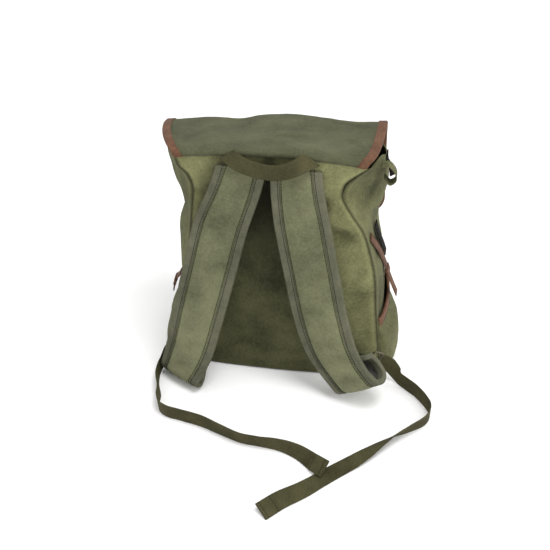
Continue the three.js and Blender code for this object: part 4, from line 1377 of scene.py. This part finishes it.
def make_handle():
    rows = HANDLE_LINE

    def across(at, tangent):
        tilt = np.radians(row_value(rows, "tilt", at))
        lean = np.radians(row_value(rows, "lean", at))
        return points_of(np.sin(lean), np.sin(tilt) * np.cos(lean), np.cos(tilt) * np.cos(lean))

    way = Way(bag_places(rows), across, square=False)
    half = WEBBING_WIDTH / 2
    webbing_piece("carrying_handle", way, -half, half, WEBBING * 1.4, 0.0, 160, 51, nodes=["handle"])
    s = np.linspace(2, way.length - 2, 120)
    lines = [
        way.point(np.full_like(s, t), s, np.full_like(s, -WEBBING * 0.7 - 0.15))
        for t in (-half + 2.5, half - 2.5)
    ]
    sew("handle_stitches", lines, radius=0.3)


def make_buckle(side):
    """Plain rounded ring at the start of a tail, with the webbing that holds it."""
    way = tail_way(side)
    middle = -BUCKLE_LENGTH / 2 - 2 * SEW_GAP
    half_wide = BUCKLE_WIDTH / 2 - BUCKLE_THICKNESS / 2
    half_long = BUCKLE_LENGTH / 2 - BUCKLE_THICKNESS / 2
    turn = np.linspace(0, 2 * math.pi, 65)
    power = 0.32
    ring_t = np.sign(np.cos(turn)) * np.abs(np.cos(turn)) ** power * half_wide
    ring_s = np.sign(np.sin(turn)) * np.abs(np.sin(turn)) ** power * half_long
    out_t, out_s = np.cos(turn), np.sin(turn)
    around = np.linspace(0, 2 * math.pi, 13)
    radius = BUCKLE_THICKNESS / 2
    centre = points_of(ring_t, ring_s, 0 * turn)
    outward = points_of(out_t, out_s, 0 * turn)
    up = np.array([0, 0, 1.0])
    tube = centre[None] + radius * (
        np.cos(around)[:, None, None] * outward[None] + np.sin(around)[:, None, None] * up
    )
    points = way.point(WEBBING_WIDTH / 2 + tube[..., 0], middle + tube[..., 1], tube[..., 2])
    piece = tube_piece(f"plain_buckle_{side}", points, FINISHES["metal"])
    dress(piece, "metal", f"strap_buckle_{side}")
    rows = ANCHOR_LINES[side]
    anchor = Way(webbing_places(rows), facing(0, 0, 1))
    webbing_piece(
        f"buckle_webbing_{side}",
        anchor,
        0,
        WEBBING_WIDTH,
        WEBBING,
        0.0,
        40,
        61,
        nodes=[f"anchor_webbing_{side}"],
    )


def tube_piece(name, points, material):
    """Closed ring of tube from a grid of points that closes both ways."""
    rows, columns = points.shape[0] - 1, points.shape[1] - 1
    j, i = np.mgrid[0:rows, 0:columns]
    at = lambda dj, di: ((j + dj) % rows) * columns + (i + di) % columns
    faces = np.stack([at(0, 0), at(0, 1), at(1, 1), at(1, 0)], -1).reshape(-1, 4)
    flat = points[:rows, :columns].reshape(-1, 3)
    a, b, c, d = (flat[faces[:, k]] for k in range(4))
    if np.einsum("ij,ij->", a, np.cross(b, c)) + np.einsum("ij,ij->", a, np.cross(c, d)) < 0:
        faces = faces[:, ::-1]
    mesh = bpy.data.meshes.new(name)
    mesh.from_pydata((flat * MM).tolist(), [], faces.tolist())
    layer = mesh.uv_layers.new(name="UVMap")
    u = np.linspace(0, 1, columns, endpoint=False)
    uv = np.stack(np.meshgrid(u, np.linspace(0, 1, rows, endpoint=False)), -1).reshape(-1, 2) * 0.05
    layer.data.foreach_set("uv", uv[faces.ravel()].astype(np.float32).ravel())
    mesh.shade_smooth()
    mesh.materials.append(material)
    piece = bpy.data.objects.new(name, mesh)
    bpy.context.scene.collection.objects.link(piece)
    return piece


# Side pockets and the small straps

def pocket_mouth(u):
    return (POCKET_MOUTH_HEIGHT + POCKET_MOUTH_RISE * u) / BODY_HEIGHT


def pocket_surface(side, u, v):
    """Inner face of a pocket, which bellies out from its foot and draws in to a flat collar."""
    height = v / pocket_mouth(u)
    share = np.clip((u - POCKET_START) / (POCKET_END - POCKET_START), 0, 1)
    around = np.sqrt(np.maximum(np.sin(math.pi * share), 0))
    foot = np.sqrt(1 - (1 - np.clip(height / 0.22, 0, 1)) ** 2)
    drawn = smoothstep(height, POCKET_BULGE, POCKET_COLLAR)
    lid = 1 - (1 - POCKET_MOUTH_SLACK) * drawn
    if side == "right":
        point = wall_surface("side_panel_right", u, v)
    else:
        point = wall_surface("side_panel_left", 1 - u, v)
    stand_off = SEW_GAP + (POCKET_STAND_OFF - SEW_GAP) * smoothstep(np.minimum(share, 1 - share), 0, 0.05)
    point[..., 0] += SIDES[side] * (POCKET_BELLY[side] * around * foot * lid + stand_off)
    return point


def pocket_point(side, u, v, n):
    """Places on a pocket, a distance out of its inner face as seen from above."""
    step = 0.004
    slope = pocket_surface(side, u, v + step) - pocket_surface(side, u, v - step)
    outward = unit(points_of(SIDES[side] * slope[..., 2], 0 * u, -SIDES[side] * slope[..., 0]))
    return pocket_surface(side, u, v) + outward * np.asarray(n)[..., None]


def make_pocket(side, seed):
    across, along = share_grid(70, 70)
    base = (CANVAS + 2 * SEW_GAP) / BODY_HEIGHT
    u = POCKET_START + (POCKET_END - POCKET_START) * across
    v = base + (pocket_mouth(u) - base) * along**1.1
    place = pocket_surface(side, u, v)
    edge = np.minimum(across, 1 - across) * 110
    hold = smoothstep(edge, 0, 18) * smoothstep(1 - along, 0.06, 0.25)
    soft = hold * (1.3 * ruffle(place, 34, seed) + 0.5 * ruffle(place, 13, seed + 1) - 0.4)
    outer = pocket_point(side, u, v, CANVAS + soft)
    inner = pocket_point(side, u, v, soft)
    # Lighter on the pocket's bulges as wear, darker in its dips as painted shade.
    pocket = grid_piece(f"pocket_cloth_{side}", outer, inner, FINISHES["canvas"], wear_and_shade=0.14 * soft)
    dress(pocket, "canvas", f"side_pocket_{side}")
    steps = np.linspace(POCKET_START, POCKET_END, 60)
    outline = np.stack([steps, 0 * steps, 0 * steps, 1 + 0 * steps], -1)

    def point(a, b, n):
        return pocket_point(side, a, pocket_mouth(a) - b / BODY_HEIGHT, n + CANVAS / 2)

    binding = wrap_edge(
        f"pocket_leather_binding_{side}", outline, point, MOUTH_BINDING_WIDTH, LEATHER, CANVAS / 2, CANVAS / 2,
        FINISHES["leather"], seed + 3,
    )
    dress(binding, "leather", f"pocket_binding_{side}")
    level = CANVAS / 2 + SEW_GAP + LEATHER + 0.1
    inner_steps = np.linspace(POCKET_START + 0.02, POCKET_END - 0.02, 60)
    line = point(inner_steps, np.full(60, MOUTH_BINDING_WIDTH - 1.6), np.full(60, level))
    sew(f"pocket_stitches_{side}", [line], radius=0.35)
    declare_cloth(pocket, outer)


def small_strap(name, rows, width, thickness, finish, slot, across_of, nodes, seed):
    way = Way(bag_places(rows), across_of)
    outer, inner = band_faces(way, -width / 2, width / 2, thickness, 0.0, 70, 14)
    wear_and_shade = 0.3 * ruffle(outer, 10, seed)
    piece = grid_piece(name, outer, inner, FINISHES[finish], wear_and_shade=wear_and_shade)
    dress(piece, slot, *nodes)
    return way


def make_pocket_strap(side, seed):
    way = small_strap(
        f"pocket_leather_strap_{side}", POCKET_STRAP_LINES[
            side
        ], THIN_STRAP_WIDTH, LEATHER * 1.5, "leather", "leather",
        facing(SIDES[side] * 0.12, 0.99, 0.05), [f"pocket_strap_{side}"], seed,
    )
    at = way.length * 0.62
    turn = np.linspace(0, 2 * math.pi, 49)
    power = 0.3
    shape_t = np.sign(np.cos(turn)) * np.abs(np.cos(turn)) ** power
    shape_n = np.sign(np.sin(turn)) * np.abs(np.sin(turn)) ** power
    shares = np.linspace(-0.5, 0.5, 9)
    grids = []
    for grow in (SEW_GAP + LEATHER, SEW_GAP):
        t = (shape_t * (THIN_STRAP_WIDTH / 2 + grow))[None] + 0 * shares[:, None]
        n = (shape_n * (LEATHER * 0.75 + grow))[None] + 0 * shares[:, None]
        s = at + shares[:, None] * KEEPER_WIDTH + 0 * turn[None]
        grids.append(way.point(t, s, n))
    keeper = grid_piece(f"pocket_strap_keeper_{side}", grids[0], grids[1], FINISHES["leather"], looped=True)
    dress(keeper, "leather", f"pocket_keeper_{side}")
    half = THIN_STRAP_WIDTH / 2 - 2
    s = np.linspace(3, way.length - 3, 60)
    lines = [
        way.point(np.full_like(s, t), s, np.full_like(s, n))
        for t in (-half, half)
        for n in (LEATHER * 0.75 + 0.1, -LEATHER * 0.75 - 0.1)
    ]
    sew(f"pocket_strap_stitches_{side}", lines, radius=0.28)


def turned(rows):
    """Way across a band whose turn about the upright is in its table."""

    def across(at, tangent):
        turn = np.radians(row_value(rows, "turn", at))
        return points_of(np.cos(turn), np.sin(turn), 0 * turn)

    return across


def make_right_side_straps():
    # The hold strap's near-black leather is painted shadow in the dark gap beside the pocket.
    small_strap(
        "side_hold_strap", HOLD_STRAP_LINE, HOLD_STRAP_WIDTH, LEATHER * 1.5, "dark", "dark_leather",
        turned(HOLD_STRAP_LINE), ["hold_strap_right"], 71,
    )
    small_strap(
        "side_canvas_loop", SIDE_LOOP_LINE, LOOP_WIDTH, CANVAS, "canvas", "canvas",
        facing(0, 1, 0), ["side_loop_right"], 72,
    )
    small_strap(
        "side_leather_thong", THONG_LINE, THONG_WIDTH, LEATHER * 1.5, "dark", "dark_leather",
        turned(THONG_LINE), ["side_thong_right"], 73,
    )


# Surroundings

def make_floor():
    mesh = bpy.data.meshes.new("floor")
    reach = 30.0
    corners = [
        (-reach, -reach, -0.0004),
        (reach, -reach, -0.0004),
        (reach, reach, -0.0004),
        (-reach, reach, -0.0004),
    ]
    mesh.from_pydata(corners, [], [(0, 1, 2, 3)])
    material = bpy.data.materials.new("pale floor")
    material.use_nodes = True
    shader = material.node_tree.nodes["Principled BSDF"]
    shader.inputs["Base Color"].default_value = (1, 1, 1, 1)
    shader.inputs["Roughness"].default_value = 0.9
    mesh.materials.append(material)
    floor = bpy.data.objects.new("floor", mesh)
    bpy.context.scene.collection.objects.link(floor)
    floor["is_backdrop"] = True


def add_light(name, place, target, size, power):
    light = bpy.data.lights.new(name, "AREA")
    light.shape = "SQUARE"
    light.size = size
    light.energy = power
    lamp = bpy.data.objects.new(name, light)
    bpy.context.scene.collection.objects.link(lamp)
    lamp.location = place
    direction = Vector(target) - Vector(place)
    lamp.rotation_euler = direction.to_track_quat("-Z", "Y").to_euler()


def make_lights():
    world = bpy.data.worlds.new("soft surroundings")
    world.use_nodes = True
    world.node_tree.nodes["Background"].inputs["Color"].default_value = (1, 1, 1, 1)
    world.node_tree.nodes["Background"].inputs["Strength"].default_value = 0.95
    bpy.context.scene.world = world
    add_light("top softbox", (0.5, -0.5, 2.2), (0, 0, 0.2), 0.9, 24)
    add_light("side softbox", (1.6, -0.9, 1.0), (0, 0, 0.2), 0.8, 8)
    bpy.context.scene.view_settings.view_transform = "Standard"


def make_camera():
    data = bpy.data.cameras.new("camera")
    data.lens = CAMERA_LENS
    data.sensor_width = 36
    camera = bpy.data.objects.new("camera", data)
    bpy.context.scene.collection.objects.link(camera)
    camera.location = [c * MM for c in CAMERA_PLACE]
    yaw, pitch = math.radians(CAMERA_YAW), math.radians(CAMERA_PITCH)
    look = Vector((-math.sin(yaw) * math.cos(pitch), math.cos(yaw) * math.cos(pitch), -math.sin(pitch)))
    camera.rotation_euler = look.to_track_quat("-Z", "Y").to_euler()
    bpy.context.scene.camera = camera


make_camera()
make_lights()
make_floor()
make_bottom()
make_wall("back_panel", 120, 130, BACK_FOLDS, (0, -1, 0), 1)
make_wall("side_panel_right", 70, 130, SIDE_FOLDS, (1, 0, 0), 3)
make_wall("front_panel", 110, 120, FLAP_FOLDS, (0, 1, 0), 5)
make_wall("side_panel_left", 70, 130, SIDE_FOLDS, (-1, 0, 0), 7)
flap, flap_outer = make_flap()
flap_binding = make_flap_binding()
declare_cloth(
    flap, flap_outer
)
for number, side in enumerate(SIDES):
    make_strap(side, 30 + 10 * number)
    make_tail(side, 80 + number)
    make_buckle(side)
    make_pocket(side, 90 + 5 * number)
    make_pocket_strap(side, 95 + number)
make_handle()
make_right_side_straps()

[[list(corner) for corner in box] for box in (CAD_BOX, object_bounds())]
